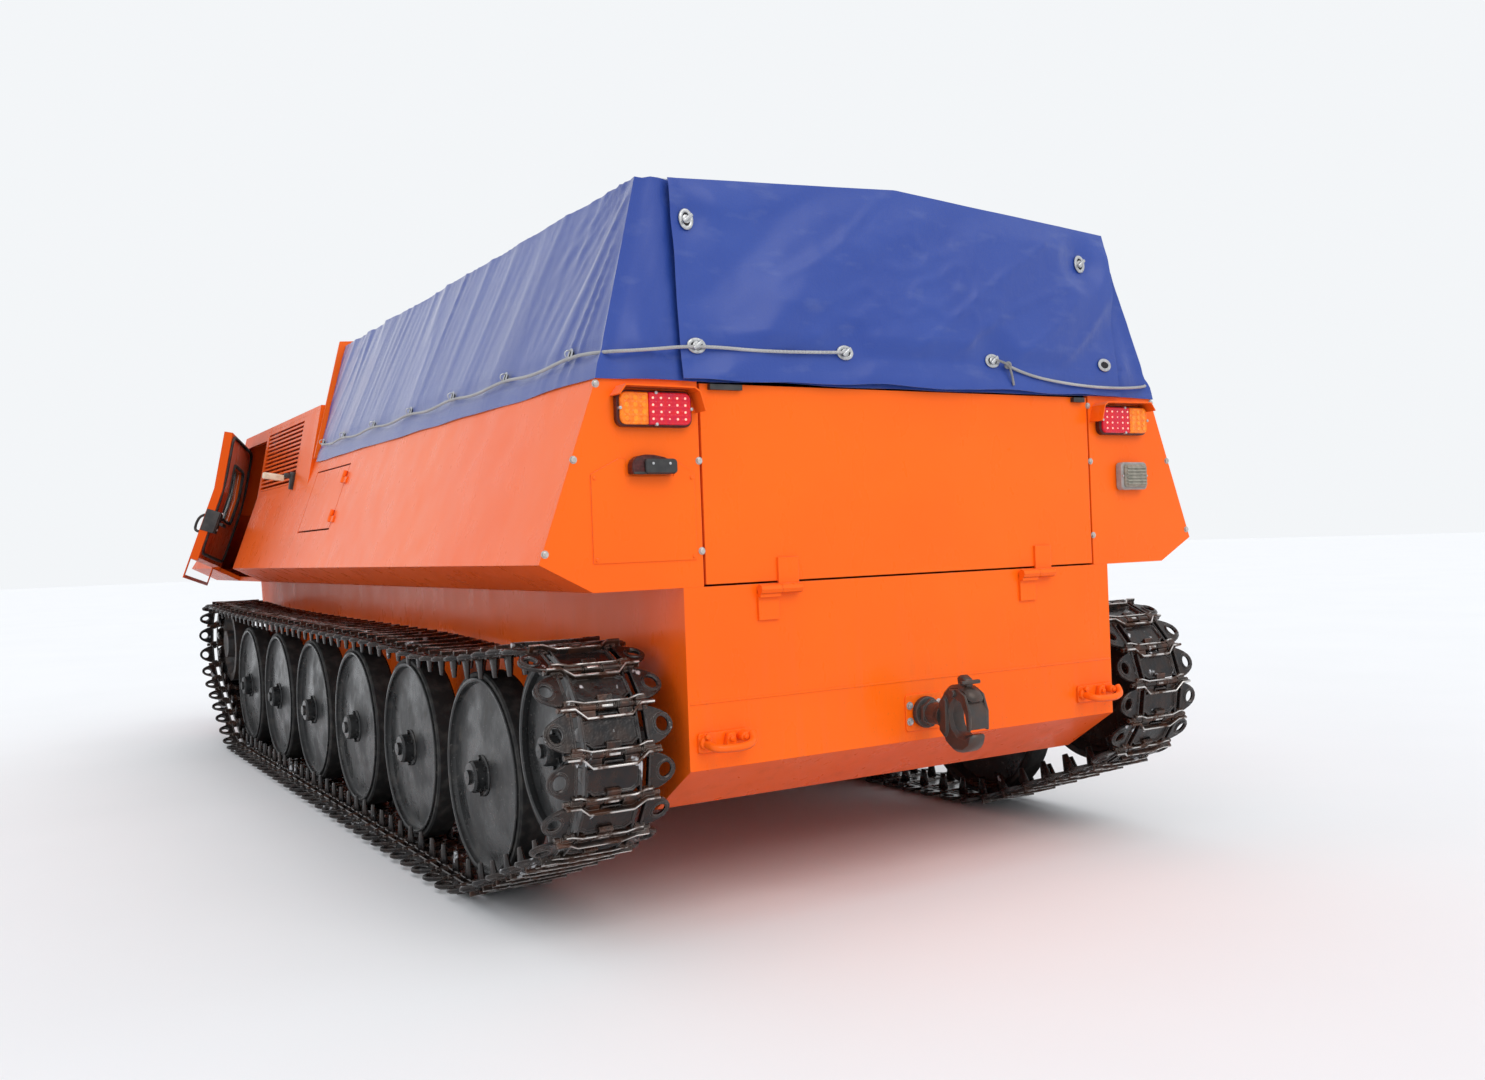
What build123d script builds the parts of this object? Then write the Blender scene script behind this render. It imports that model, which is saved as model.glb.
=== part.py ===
from build123d import *
from math import atan2, cos, degrees, hypot, pi, radians, sin, sqrt
import os

os.makedirs("parts", exist_ok=True)

# Millimetres. X runs forward from the rear face, Y to the left, Z up.
# The origin is the middle of the towing hook's plate on the rear face.
HOOK_H = 570
GND = -HOOK_H


def up(height):
    """Z of a height above the ground."""
    return GND + height


# Body section: half widths, and heights above ground built up from the ledge.
TUB_Y = 850
TUB_T = 12
SKIN_T = 25
PLATE_T = 20
LEDGE_W, CHAMFER_OUT, DECK_IN, KINK_IN, ROOF_IN = 280, 155, 193, 145, 82
CHAMFER_Y = TUB_Y + LEDGE_W
WIDE_Y = CHAMFER_Y + CHAMFER_OUT
DECK_Y = WIDE_Y - DECK_IN
KINK_Y = WIDE_Y - KINK_IN
ROOF_Y = KINK_Y - ROOF_IN
CHAMFER_H = 1005
CHAMFER_RISE, KINK_RISE, DECK_RISE, ROOF_RISE = 82, 393, 525, 400
WIDE_H = CHAMFER_H + CHAMFER_RISE
KINK_H = WIDE_H + KINK_RISE
DECK_H = WIDE_H + DECK_RISE
ROOF_H = KINK_H + ROOF_RISE
FLOOR_H, CREASE_X = 342, 219
CREASE_H = FLOOR_H + 140
LEDGE_Y = TUB_Y - TUB_T

# Places along the length.
CARGO_X1 = 3208
BAY_X0 = 3260
JAMB_X0, JAMB_X1 = 4500, 5180
ROOF_X1 = 5190
SCREEN_X, SCREEN_H = 5370, ROOF_H - 450
NOSE_X, NOSE_H = 6000, CHAMFER_H + 85
BOW_X, BOW_H = 5950, CHAMFER_H - 245
KEEL_X = 5400

# Clearances.
SEAM = 0.3
MOVE = 8
SOFT = 0.4
FIT = 0.6
PIN_FIT = 0.8
LEAF_T = 8

# Flat sides round a pin, a shaft, a lamp and a wheel.
PIN_SIDES, SHAFT_SIDES, LAMP_SIDES, WHEEL_SIDES = 8, 8, 16, 16

# Load floor and the cover over the bay.
LOAD_FLOOR_H, LOAD_FLOOR_T = 560, 15
TARP_T = 4
TARP_HEM_H = DECK_H - 14
TARP_TOP_Y, TARP_TOP_H = 930, DECK_H + 570
RIDGE_H = TARP_TOP_H + 61
TARP_TOP_X = 56
BULK_T = 14
BULK_LEAN = 68
BULK_OUT = 22

# Running gear.
TRACK_W, TRACK_GAP = 390, 45
TRACK_Y = TUB_Y + TRACK_GAP + TRACK_W / 2
WHEEL_X0, WHEEL_PITCH, WHEELS = 930, 800, 6
PLATE_IN, PLATE_OUT, LUG_H = 12, 10, 23
WHEEL_R, WHEEL_W = 347, 106
WHEEL_H = WHEEL_R + PLATE_IN + FIT + LUG_H
IDLER_X, IDLER_H, IDLER_R = 295, 545, 300
SPROCKET_X, SPROCKET_H, SPROCKET_R = 5560, 600, 252
SHOE_PITCH = 130.5
AXLE_R = 38


def inset(points, d):
    """Convex polygon, given counter-clockwise, moved inwards by d."""
    out = []
    n = len(points)
    for i in range(n):
        (ax, ay), (bx, by), (cx, cy) = points[i - 1], points[i], points[(i + 1) % n]
        out.append(corner((ax, ay), (bx, by), (cx, cy), d))
    return out


def corner(a, b, c, d):
    """Meeting point of lines ab and bc, both moved to their left by d."""
    ux, uy = b[0] - a[0], b[1] - a[1]
    vx, vy = c[0] - b[0], c[1] - b[1]
    lu, lv = hypot(ux, uy), hypot(vx, vy)
    ux, uy, vx, vy = ux / lu, uy / lu, vx / lv, vy / lv
    nx, ny = -uy - vy, ux + vx
    s = d / (nx * -uy + ny * ux)
    return (b[0] + nx * s, b[1] + ny * s)


def band(points, d):
    """Strip between a line of points and the same line moved to its left by d."""
    inner = []
    last = len(points) - 1
    for i, p in enumerate(points):
        a = points[i - 1] if i > 0 else (2 * p[0] - points[1][0], 2 * p[1] - points[1][1])
        c = points[i + 1] if i < last else (2 * p[0] - a[0], 2 * p[1] - a[1])
        inner.append(corner(a, p, c, d))
    return points + inner[::-1]


def prism_x(points, x0, x1):
    """Outline in Y and Z, run along X."""
    with BuildPart() as p:
        with BuildSketch(Plane.YZ.offset(x0)):
            Polygon(*points, align=None)
        extrude(amount=x1 - x0)
    return p.part


def prism_y(points, y0, y1):
    """Outline in X and Z, run along Y."""
    with BuildPart() as p:
        with BuildSketch(Plane.XZ.offset(-y1)):
            Polygon(*points, align=None)
        extrude(amount=y1 - y0)
    return p.part


def box(x0, x1, y0, y1, z0, z1):
    """Block between limits, heights above ground."""
    with BuildPart() as p:
        with Locations(((x0 + x1) / 2, (y0 + y1) / 2, up((z0 + z1) / 2))):
            Box(x1 - x0, y1 - y0, z1 - z0)
    return p.part


def rod(a, b, radius, sides=SHAFT_SIDES):
    """Bar with flat sides from point a to point b."""
    with BuildPart() as p:
        start, end = Vector(*a), Vector(*b)
        with BuildSketch(Plane(origin=start, z_dir=end - start)):
            RegularPolygon(radius, sides)
        extrude(amount=(end - start).length)
    return p.part


def solid_of(faces):
    """Closed solid between flat faces, each a list of corners."""
    shell = Shell([Face(Wire.make_polygon([Vector(*p) for p in face], close=True)) for face in faces])
    return Solid(shell)


def spin_y(points, x, y, z, sides=WHEEL_SIDES):
    """Outline in radius and Y offset, turned in flat steps about a crosswise axle, one corner lowest."""
    def ring(r, o):
        turns = [2 * pi * k / sides - pi / 2 for k in range(sides)]
        return [(x + r * cos(t), y + o, z + r * sin(t)) for t in turns]

    faces = []
    for (r0, o0), (r1, o1) in zip(points, points[1:] + points[:1]):
        if r0 > 0 and r1 > 0:
            a, b = ring(r0, o0), ring(r1, o1)
            faces += [(a[k - 1], a[k], b[k], b[k - 1]) for k in range(sides)]
        elif r0 > 0 or r1 > 0:
            faces.append(ring(max(r0, r1), o0))
    return solid_of(faces)


def hinge_half(line, a0, a1, reach, depth, radius):
    """Knuckle about a plane's Z from a0 to a1, with its leaf along X and sunk by depth."""
    with BuildPart() as p:
        with BuildSketch(line.offset(a0)):
            RegularPolygon(radius, PIN_SIDES)
            if reach:
                Polygon((0, -depth), (reach, -depth), (reach, -depth + LEAF_T), (0, 0), align=None)
        extrude(amount=a1 - a0)
    return p.part


def hinge_pin(line, a0, a1, radius):
    """Pin about a plane's Z from a0 to a1."""
    with BuildPart() as p:
        with BuildSketch(line.offset(a0)):
            RegularPolygon(radius, PIN_SIDES)
        extrude(amount=a1 - a0)
    return p.part


def other_side(part):
    return mirror(part, about=Plane.XZ)


def save(builder, name):
    builder.part.label = name
    export_step(builder.part, "parts/" + name + ".step")


# Hull tub: floor, lower sides, rear plate with its bent foot, and bow.
TUB_SIDE = [
    (0, up(CREASE_H)),
    (CREASE_X, up(FLOOR_H)),
    (KEEL_X, up(FLOOR_H)),
    (BOW_X, up(BOW_H)),
    (NOSE_X, up(CHAMFER_H)),
    (0, up(CHAMFER_H)),
]
TUB_HOLLOW = [
    (TUB_T, up(CREASE_H) + TUB_T * 0.5),
    (CREASE_X + TUB_T * 0.3, up(FLOOR_H) + TUB_T),
    (KEEL_X - TUB_T * 0.3, up(FLOOR_H) + TUB_T),
    (BOW_X - TUB_T * 1.2, up(BOW_H)),
    (NOSE_X - TUB_T * 1.4, up(CHAMFER_H) + 1),
    (TUB_T, up(CHAMFER_H) + 1),
]
with BuildPart() as hull_tub:
    add(prism_y(TUB_SIDE, -TUB_Y, TUB_Y))
    add(prism_y(TUB_HOLLOW, -LEDGE_Y, LEDGE_Y), mode=Mode.SUBTRACT)
save(hull_tub, "hull_tub")

# Side walls: floor of the ledge over the track, chamfer, leaning side.
CARGO_WALL = [
    (LEDGE_Y, up(CHAMFER_H)),
    (CHAMFER_Y, up(CHAMFER_H)),
    (WIDE_Y, up(WIDE_H)),
    (DECK_Y, up(DECK_H)),
]
BAY_WALL = [
    (LEDGE_Y, up(CHAMFER_H)),
    (CHAMFER_Y, up(CHAMFER_H)),
    (WIDE_Y, up(WIDE_H)),
    (KINK_Y, up(KINK_H)),
    (ROOF_Y, up(ROOF_H)),
]
# Louvred opening and side hatch, in the left wall: X limits and heights.
LOUVRE = dict(x0=3560, x1=4470, h0=KINK_H + 14, h1=ROOF_H - 28)
HATCH = dict(x0=2510, x1=3120, h0=WIDE_H + 163, h1=DECK_H - 72)
with BuildPart() as side_wall_left:
    add(prism_x(band(CARGO_WALL, SKIN_T), PLATE_T, BAY_X0))
    add(prism_x(band(BAY_WALL, SKIN_T), BAY_X0, JAMB_X0))
    add(box(BAY_X0 - 1, JAMB_X0 + 1, 0, WIDE_Y, ROOF_H - SKIN_T, ROOF_H + 50), mode=Mode.SUBTRACT)
    add(box(LOUVRE["x0"], LOUVRE["x1"], 900, WIDE_Y, LOUVRE["h0"], LOUVRE["h1"]), mode=Mode.SUBTRACT)
    add(box(HATCH["x0"], HATCH["x1"], 900, WIDE_Y, HATCH["h0"], HATCH["h1"]), mode=Mode.SUBTRACT)
save(side_wall_left, "side_wall_left")
with BuildPart() as side_wall_right:
    add(other_side(side_wall_left.part))
save(side_wall_right, "side_wall_right")

# Rear corner plates beside the gate.
GATE_Y = 775
GATE_H0, GATE_H1 = CHAMFER_H + 6, DECK_H - 24
REAR_CORNER = [
    (GATE_Y + MOVE, up(CHAMFER_H)),
    (CHAMFER_Y, up(CHAMFER_H)),
    (WIDE_Y, up(WIDE_H)),
    (DECK_Y, up(DECK_H)),
    (GATE_Y + MOVE, up(DECK_H)),
]
with BuildPart() as rear_corner_left:
    add(prism_x(REAR_CORNER, 0, PLATE_T))
save(rear_corner_left, "rear_corner_left")
with BuildPart() as rear_corner_right:
    add(other_side(rear_corner_left.part))
save(rear_corner_right, "rear_corner_right")

# Tailgate with the upper hinge leaves and knuckles.
HINGE_YS = (497, -536)
HINGE_H, HINGE_X, PIN_R, KNUCKLE_R = CHAMFER_H - 17, -16, 7, 15
LEAF_W = 72


def gate_rod(y0, y1, radius):
    """Knuckle or pin along the gate's hinge line."""
    return rod((HINGE_X, y0, up(HINGE_H)), (HINGE_X, y1, up(HINGE_H)), radius, PIN_SIDES)


with BuildPart() as tailgate:
    add(box(0, 30, -GATE_Y, GATE_Y, GATE_H0, GATE_H1))
    add(box(8, 31, -GATE_Y + 30, GATE_Y - 30, GATE_H0 + 30, GATE_H1 - 30), mode=Mode.SUBTRACT)
    for y in HINGE_YS:
        add(box(-8, 0, y - LEAF_W / 2, y + LEAF_W / 2, HINGE_H, HINGE_H + 92))
        add(gate_rod(y - LEAF_W / 2, y + LEAF_W / 2, KNUCKLE_R))
        add(box(HINGE_X, -4, y - LEAF_W / 2, y + LEAF_W / 2, HINGE_H, HINGE_H + KNUCKLE_R))
    for y in HINGE_YS:
        add(gate_rod(y - LEAF_W, y + LEAF_W, PIN_R + PIN_FIT), mode=Mode.SUBTRACT)
save(tailgate, "tailgate")

with BuildPart() as gate_hinges:
    for y in HINGE_YS:
        y0 = y + LEAF_W / 2 + 1
        add(box(-8, 0, y0, y0 + LEAF_W, HINGE_H - 90, HINGE_H - 12))
        add(gate_rod(y0, y0 + LEAF_W, KNUCKLE_R))
        add(box(HINGE_X - 4, -4, y0, y0 + LEAF_W, HINGE_H - KNUCKLE_R - 8, HINGE_H - 4))
        add(gate_rod(y - LEAF_W / 2 - 4, y0 + 2, PIN_R))
save(gate_hinges, "gate_hinges")

with BuildPart() as gate_latches:
    for y0, y1 in ((640, 748), (-752, -700)):
        add(box(-16, 0, y0, y1, GATE_H1 - 18, GATE_H1 - 2))
save(gate_latches, "gate_latches")

# Floors of the load bay and the cab.
with BuildPart() as load_floor:
    add(box(TUB_T, CARGO_X1, -LEDGE_Y, LEDGE_Y, LOAD_FLOOR_H - LOAD_FLOOR_T, LOAD_FLOOR_H))
save(load_floor, "load_floor")
with BuildPart() as cab_floor:
    add(box(JAMB_X0, KEEL_X + 150, -LEDGE_Y, LEDGE_Y, LOAD_FLOOR_H - LOAD_FLOOR_T, LOAD_FLOOR_H))
save(cab_floor, "cab_floor")

# Partition ahead of the load bay, upright below and leaning above the deck.
def deck_outline(grow):
    """Cover's section at its front end, with the ridge."""
    return [
        (DECK_Y + grow, up(DECK_H)),
        (TARP_TOP_Y + grow, up(TARP_TOP_H) + grow),
        (0, up(RIDGE_H) + grow),
        (-TARP_TOP_Y - grow, up(TARP_TOP_H) + grow),
        (-DECK_Y - grow, up(DECK_H)),
    ]


lean = atan2(BULK_LEAN, TARP_TOP_H - DECK_H)
with BuildPart() as partition:
    foot = up(DECK_H + 2)
    with BuildSketch(Plane(origin=(CARGO_X1, 0, foot), x_dir=(0, 1, 0), z_dir=(cos(lean), 0, -sin(lean)))):
        Polygon(*[(y, max(z - foot, 0)) for y, z in deck_outline(BULK_OUT)], align=None)
    extrude(amount=BULK_T)
    add(prism_x([
        (LEDGE_Y, up(FLOOR_H + TUB_T)),
        (LEDGE_Y, up(CHAMFER_H + SKIN_T)),
        (CHAMFER_Y - 30, up(CHAMFER_H + SKIN_T)),
        (DECK_Y - 50, up(DECK_H + 4)),
        (-DECK_Y + 50, up(DECK_H + 4)),
        (-CHAMFER_Y + 30, up(CHAMFER_H + SKIN_T)),
        (-LEDGE_Y, up(CHAMFER_H + SKIN_T)),
        (-LEDGE_Y, up(FLOOR_H + TUB_T)),
    ], CARGO_X1, CARGO_X1 + BULK_T))
save(partition, "partition")

# Roof of the engine bay, with the opening under its cover.
COVER = dict(x0=3420, x1=4380, y=560)
with BuildPart() as bay_roof:
    half = ROOF_Y + 5
    add(box(BAY_X0, JAMB_X0, -half, half, ROOF_H - SKIN_T, ROOF_H))
    add(box(COVER["x0"], COVER["x1"], -COVER["y"], COVER["y"], ROOF_H - 60, ROOF_H + 60), mode=Mode.SUBTRACT)
    for s in (1, -1):
        with BuildSketch(Plane.YZ.offset(BAY_X0 - 1)):
            Polygon((s * ROOF_Y, up(ROOF_H) + 1), (s * (ROOF_Y + 30), up(ROOF_H) + 1),
                    (s * (ROOF_Y + 30), up(ROOF_H - 60)), (s * (ROOF_Y + 12.3), up(ROOF_H - 60)), align=None)
        extrude(amount=JAMB_X0 - BAY_X0 + 2, mode=Mode.SUBTRACT)
save(bay_roof, "bay_roof")

# Hinges of the lids: each lid's knuckles sit on its upper edge, the fixed ones beside them.
LID_LAP = 25
LID_KNUCKLE_R, LID_PIN_R, LID_HINGE_W = 9, 5, 40


def lid_line(x, z, slope=0):
    """Plane square to a crosswise hinge line, its X along the face that the lid lies on."""
    return Plane(origin=(x, 0, z), x_dir=(cos(slope), 0, sin(slope)), z_dir=(0, -1, 0))


def lid_knuckles(lid, line, ys, reach):
    """Lid with its knuckles and pin holes, cut clear of the fixed knuckles."""
    with BuildPart() as p:
        add(lid)
        for y in ys:
            add(hinge_pin(line, -y - LID_HINGE_W, -y, LID_KNUCKLE_R))
        for y in ys:
            room = hinge_half(line, -y + 0.5, -y + LID_HINGE_W + 6, -reach,
                              LID_KNUCKLE_R + 16, LID_KNUCKLE_R + 4)
            add(room, mode=Mode.SUBTRACT)
            add(hinge_pin(line, -y - LID_HINGE_W - 1, -y + 1, LID_PIN_R + PIN_FIT), mode=Mode.SUBTRACT)
    return p.part


def lid_leaves(line, ys, reach, depth):
    """Fixed leaves, knuckles and pins beside a lid's own."""
    with BuildPart() as p:
        for y in ys:
            add(hinge_half(line, -y + 1, -y + 1 + LID_HINGE_W, reach, depth, LID_KNUCKLE_R))
            add(hinge_pin(line, -y - LID_HINGE_W + 4, -y + 4, LID_PIN_R))
    return p.part


COVER_TOP = ROOF_H + 13
COVER_LINE = lid_line(COVER["x1"] + LID_LAP, up(COVER_TOP))
COVER_YS = (300, -300)
with BuildPart() as engine_cover:
    plate = box(COVER["x0"] - LID_LAP, COVER["x1"] + LID_LAP, -COVER["y"] - LID_LAP, COVER["y"] + LID_LAP,
                ROOF_H + SEAM, COVER_TOP)
    add(lid_knuckles(plate, COVER_LINE, COVER_YS, 6))
save(engine_cover, "engine_cover")

# Louvred panels: a frame with slats, in the wall's leaning plane.
lean_bay = atan2(KINK_Y - ROOF_Y, ROOF_H - KINK_H)
SLATS = 14


def wall_y(height):
    """Outer half width of the bay wall at a height above its kink."""
    if height > KINK_H:
        return KINK_Y - (KINK_Y - ROOF_Y) * (height - KINK_H) / (ROOF_H - KINK_H)
    return WIDE_Y - (WIDE_Y - KINK_Y) * (height - WIDE_H) / (KINK_H - WIDE_H)


def wall_strip(h0, h1, depth, thick):
    """Outline in Y and Z of a strip lying in the bay wall's outer plane, sunk by depth."""
    return [
        (wall_y(h0) - depth, up(h0)),
        (wall_y(h1) - depth, up(h1)),
        (wall_y(h1) - depth - thick, up(h1)),
        (wall_y(h0) - depth - thick, up(h0)),
    ]


with BuildPart() as louvre_left:
    x0, x1, h0, h1 = LOUVRE["x0"], LOUVRE["x1"], LOUVRE["h0"], LOUVRE["h1"]
    add(prism_x(wall_strip(h0, h1, 0, 20), x0, x1))
    add(prism_x(wall_strip(h0 + 18, h1 - 18, -30, 80), x0 + 20, x1 - 20), mode=Mode.SUBTRACT)
    step = (h1 - h0 - 36) / SLATS
    for i in range(SLATS):
        low = h0 + 18 + step * (i + 0.1)
        add(prism_x(wall_strip(low, low + step * 0.45, 2, 16), x0 + 15, x1 - 15))
save(louvre_left, "louvre_left")
with BuildPart() as louvre_right:
    add(other_side(louvre_left.part))
save(louvre_right, "louvre_right")


# Side hatches, hinged on their rear edge.
def side_y(height):
    """Outer half width of the cargo wall."""
    return WIDE_Y - (WIDE_Y - DECK_Y) * (height - WIDE_H) / (DECK_H - WIDE_H)


def side_strip(h0, h1, depth, thick):
    return [
        (side_y(h0) - depth, up(h0)),
        (side_y(h1) - depth, up(h1)),
        (side_y(h1) - depth - thick, up(h1)),
        (side_y(h0) - depth - thick, up(h0)),
    ]


HATCH_GAP = 7
HATCH_PIN_R, HATCH_PIN_OUT, HATCH_KNUCKLE_R = 5, 10, 9
HATCH_HINGE_HS = (HATCH["h0"] + 60, HATCH["h1"] - 60)
HATCH_AXIS = (0, DECK_Y - WIDE_Y, DECK_H - WIDE_H)
HATCH_LEAF = HATCH_PIN_OUT * cos(atan2(WIDE_Y - DECK_Y, DECK_H - WIDE_H))


def hatch_line(h):
    """Plane square to the hatch's hinge line at a height, just outside the wall."""
    spot = (HATCH["x0"] + HATCH_GAP / 2, side_y(h) + HATCH_PIN_OUT, up(h))
    return Plane(origin=spot, x_dir=(1, 0, 0), z_dir=HATCH_AXIS)


with BuildPart() as side_hatch_left:
    x0, x1, h0, h1 = HATCH["x0"], HATCH["x1"], HATCH["h0"], HATCH["h1"]
    g = HATCH_GAP
    add(prism_x(side_strip(h0 + g, h1 - g, 0, 12), x0 + g, x1 - g))
    for h in HATCH_HINGE_HS:
        add(hinge_half(hatch_line(h), 0.5, 28, 48, HATCH_LEAF + 6, HATCH_KNUCKLE_R))
    for h in HATCH_HINGE_HS:
        add(hinge_pin(hatch_line(h), 0, 40, HATCH_PIN_R + PIN_FIT), mode=Mode.SUBTRACT)
save(side_hatch_left, "side_hatch_left")
with BuildPart() as hatch_hinges:
    for h in HATCH_HINGE_HS:
        for one in (hinge_half(hatch_line(h), -28, -0.5, -48, HATCH_LEAF, HATCH_KNUCKLE_R),
                    hinge_pin(hatch_line(h), -5, 26, HATCH_PIN_R)):
            add(one)
            add(other_side(one))
save(hatch_hinges, "hatch_hinges")
with BuildPart() as side_hatch_right:
    add(other_side(side_hatch_left.part))
save(side_hatch_right, "side_hatch_right")

# Cab: sides, roof, screen frame, sloping front and front ledges.
CAB_SECTION = [
    (-CHAMFER_Y, up(CHAMFER_H)),
    (CHAMFER_Y, up(CHAMFER_H)),
    (WIDE_Y, up(WIDE_H)),
    (KINK_Y, up(KINK_H)),
    (ROOF_Y, up(ROOF_H)),
    (-ROOF_Y, up(ROOF_H)),
    (-KINK_Y, up(KINK_H)),
    (-WIDE_Y, up(WIDE_H)),
]
CAB_PROFILE = [
    (JAMB_X0 - 400, up(CHAMFER_H)),
    (NOSE_X, up(CHAMFER_H)),
    (NOSE_X, up(NOSE_H)),
    (SCREEN_X, up(SCREEN_H)),
    (ROOF_X1, up(ROOF_H)),
    (JAMB_X0 - 400, up(ROOF_H)),
]


def cab_body(d):
    """Solid of the cab's outside moved in by d, two outlines crossed."""
    with BuildPart() as p:
        add(prism_x(section_in(d), JAMB_X0 - 400, NOSE_X + 10))
        add(prism_y(profile_in(d), -WIDE_Y - 10, WIDE_Y + 10), mode=Mode.INTERSECT)
    return p.part


def section_in(d):
    half = [(LEDGE_Y - 200, up(CHAMFER_H)), (CHAMFER_Y, up(CHAMFER_H)), (WIDE_Y, up(WIDE_H)),
            (KINK_Y, up(KINK_H)), (ROOF_Y, up(ROOF_H)), (0, up(ROOF_H))]
    if d == 0:
        line = half[1:5]
    else:
        line = [corner(half[i - 1], half[i], half[i + 1], d) for i in range(1, 5)]
    return line + [(-y, z) for y, z in line[::-1]]


def profile_in(d):
    return CAB_PROFILE if d == 0 else inset(CAB_PROFILE, d)


# Screens: half widths and heights of the openings.
SCREEN = dict(y0=45, y1=860, h0=SCREEN_H + 60, h1=ROOF_H - 50)
ROOF_HATCH = dict(x0=4640, x1=5080, y0=-720, y1=-280)
NOSE_HATCH = dict(x0=5480, x1=5880, y=360)
with BuildPart() as cab_shell:
    add(cab_body(0))
    add(cab_body(SKIN_T), mode=Mode.SUBTRACT)
    add(box(3000, JAMB_X0, -1400, 1400, 900, 2000), mode=Mode.SUBTRACT)
    add(box(JAMB_X0 - 1, BOW_X, -LEDGE_Y, LEDGE_Y, 900, CHAMFER_H + SKIN_T + 1), mode=Mode.SUBTRACT)
    for s in (1, -1):
        ys = sorted((s * (CHAMFER_Y - 120), s * 1400))
        add(box(JAMB_X0 - 1, JAMB_X1, *ys, CHAMFER_H + SKIN_T, ROOF_H - 70), mode=Mode.SUBTRACT)
        ys = sorted((s * CHAMFER_Y, s * 1400))
        add(box(JAMB_X0 - 1, JAMB_X1, *ys, CHAMFER_H - 1, CHAMFER_H + SKIN_T + 1), mode=Mode.SUBTRACT)
        ys = sorted((s * SCREEN["y0"], s * SCREEN["y1"]))
        add(box(ROOF_X1 - 90, SCREEN_X + 130, *ys, SCREEN["h0"], SCREEN["h1"]), mode=Mode.SUBTRACT)
    r = ROOF_HATCH
    add(box(r["x0"], r["x1"], r["y0"], r["y1"], ROOF_H - 60, ROOF_H + 10), mode=Mode.SUBTRACT)
    n = NOSE_HATCH
    add(box(n["x0"], n["x1"], -n["y"], n["y"], CHAMFER_H + 55, SCREEN_H + 50), mode=Mode.SUBTRACT)
save(cab_shell, "cab_shell")

HATCH_TOP = 16
ROOF_HATCH_LINE = lid_line(ROOF_HATCH["x1"] + LID_LAP, up(ROOF_H + HATCH_TOP))
ROOF_HATCH_YS = (-400, -600)
with BuildPart() as roof_hatch:
    r = ROOF_HATCH
    plate = box(r["x0"] - LID_LAP, r["x1"] + LID_LAP, r["y0"] - LID_LAP, r["y1"] + LID_LAP,
                ROOF_H + SEAM, ROOF_H + HATCH_TOP)
    add(lid_knuckles(plate, ROOF_HATCH_LINE, ROOF_HATCH_YS, 6))
save(roof_hatch, "roof_hatch")


# Height of the sloping front's outer face at a place along the length.
def front_h(x):
    return SCREEN_H + (NOSE_H - SCREEN_H) * (x - SCREEN_X) / (NOSE_X - SCREEN_X)


def screen_x(height):
    return SCREEN_X + (ROOF_X1 - SCREEN_X) * (height - SCREEN_H) / (ROOF_H - SCREEN_H)


FRONT_SLOPE = atan2(NOSE_H - SCREEN_H, NOSE_X - SCREEN_X)
NOSE_HATCH_X = NOSE_HATCH["x0"] - LID_LAP
NOSE_HATCH_LINE = lid_line(NOSE_HATCH_X, up(front_h(NOSE_HATCH_X) + HATCH_TOP), FRONT_SLOPE)
NOSE_HATCH_YS = (220, -220)
with BuildPart() as nose_hatch:
    x0, x1 = NOSE_HATCH_X, NOSE_HATCH["x1"] + LID_LAP
    plate = prism_y([
        (x0, up(front_h(x0) + SEAM)),
        (x1, up(front_h(x1) + SEAM)),
        (x1, up(front_h(x1) + HATCH_TOP)),
        (x0, up(front_h(x0) + HATCH_TOP)),
    ], -NOSE_HATCH["y"] - LID_LAP, NOSE_HATCH["y"] + LID_LAP)
    add(lid_knuckles(plate, NOSE_HATCH_LINE, NOSE_HATCH_YS, -6))
save(nose_hatch, "nose_hatch")
with BuildPart() as lid_hinges:
    add(lid_leaves(COVER_LINE, COVER_YS, 45, COVER_TOP - ROOF_H))
    add(lid_leaves(ROOF_HATCH_LINE, ROOF_HATCH_YS, 45, HATCH_TOP))
    add(lid_leaves(NOSE_HATCH_LINE, NOSE_HATCH_YS, -45, HATCH_TOP * cos(FRONT_SLOPE)))
save(lid_hinges, "lid_hinges")

with BuildPart() as windscreen:
    for s in (1, -1):
        h0, h1 = SCREEN["h0"] + SEAM, SCREEN["h1"] - SEAM
        ys = sorted((s * (SCREEN["y0"] + SEAM), s * (SCREEN["y1"] - SEAM)))
        add(prism_y([
            (screen_x(h0) - 16, up(h0)),
            (screen_x(h0) - 9, up(h0)),
            (screen_x(h1) - 9, up(h1)),
            (screen_x(h1) - 16, up(h1)),
        ], *ys))
save(windscreen, "windscreen")

# Doors: kinked panels, the window cut, a low open frame below.
DOOR_T = 45
DOOR_H0, DOOR_H1 = WIDE_H + 4, ROOF_H - 70 - MOVE
DOOR_BAR_H, BAR_W = CHAMFER_H - 20, 16
DOOR_WIN = dict(x0=4700, x1=5000, h0=KINK_H - 150, h1=KINK_H + 160)
LATCH_H = KINK_H - 190
LEAN_LOW = (WIDE_Y - KINK_Y) / (KINK_H - WIDE_H)
DOOR_LINE = [
    (wall_y(DOOR_H0), up(DOOR_H0)),
    (KINK_Y, up(KINK_H)),
    (wall_y(DOOR_H1), up(DOOR_H1)),
]
HINGE_BOTTOM = (JAMB_X1 - MOVE / 2, WIDE_Y + 12, up(WIDE_H))
HINGE_TOP = (JAMB_X1 - MOVE / 2, ROOF_Y + 12, up(ROOF_H))
DOOR_OPEN = 20
DOOR_HINGE_IN = 28
DOOR_PIN_R, DOOR_KNUCKLE_R = 8, 14
DOOR_HINGE_HS = (WIDE_H + 93, ROOF_H - 120)
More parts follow.
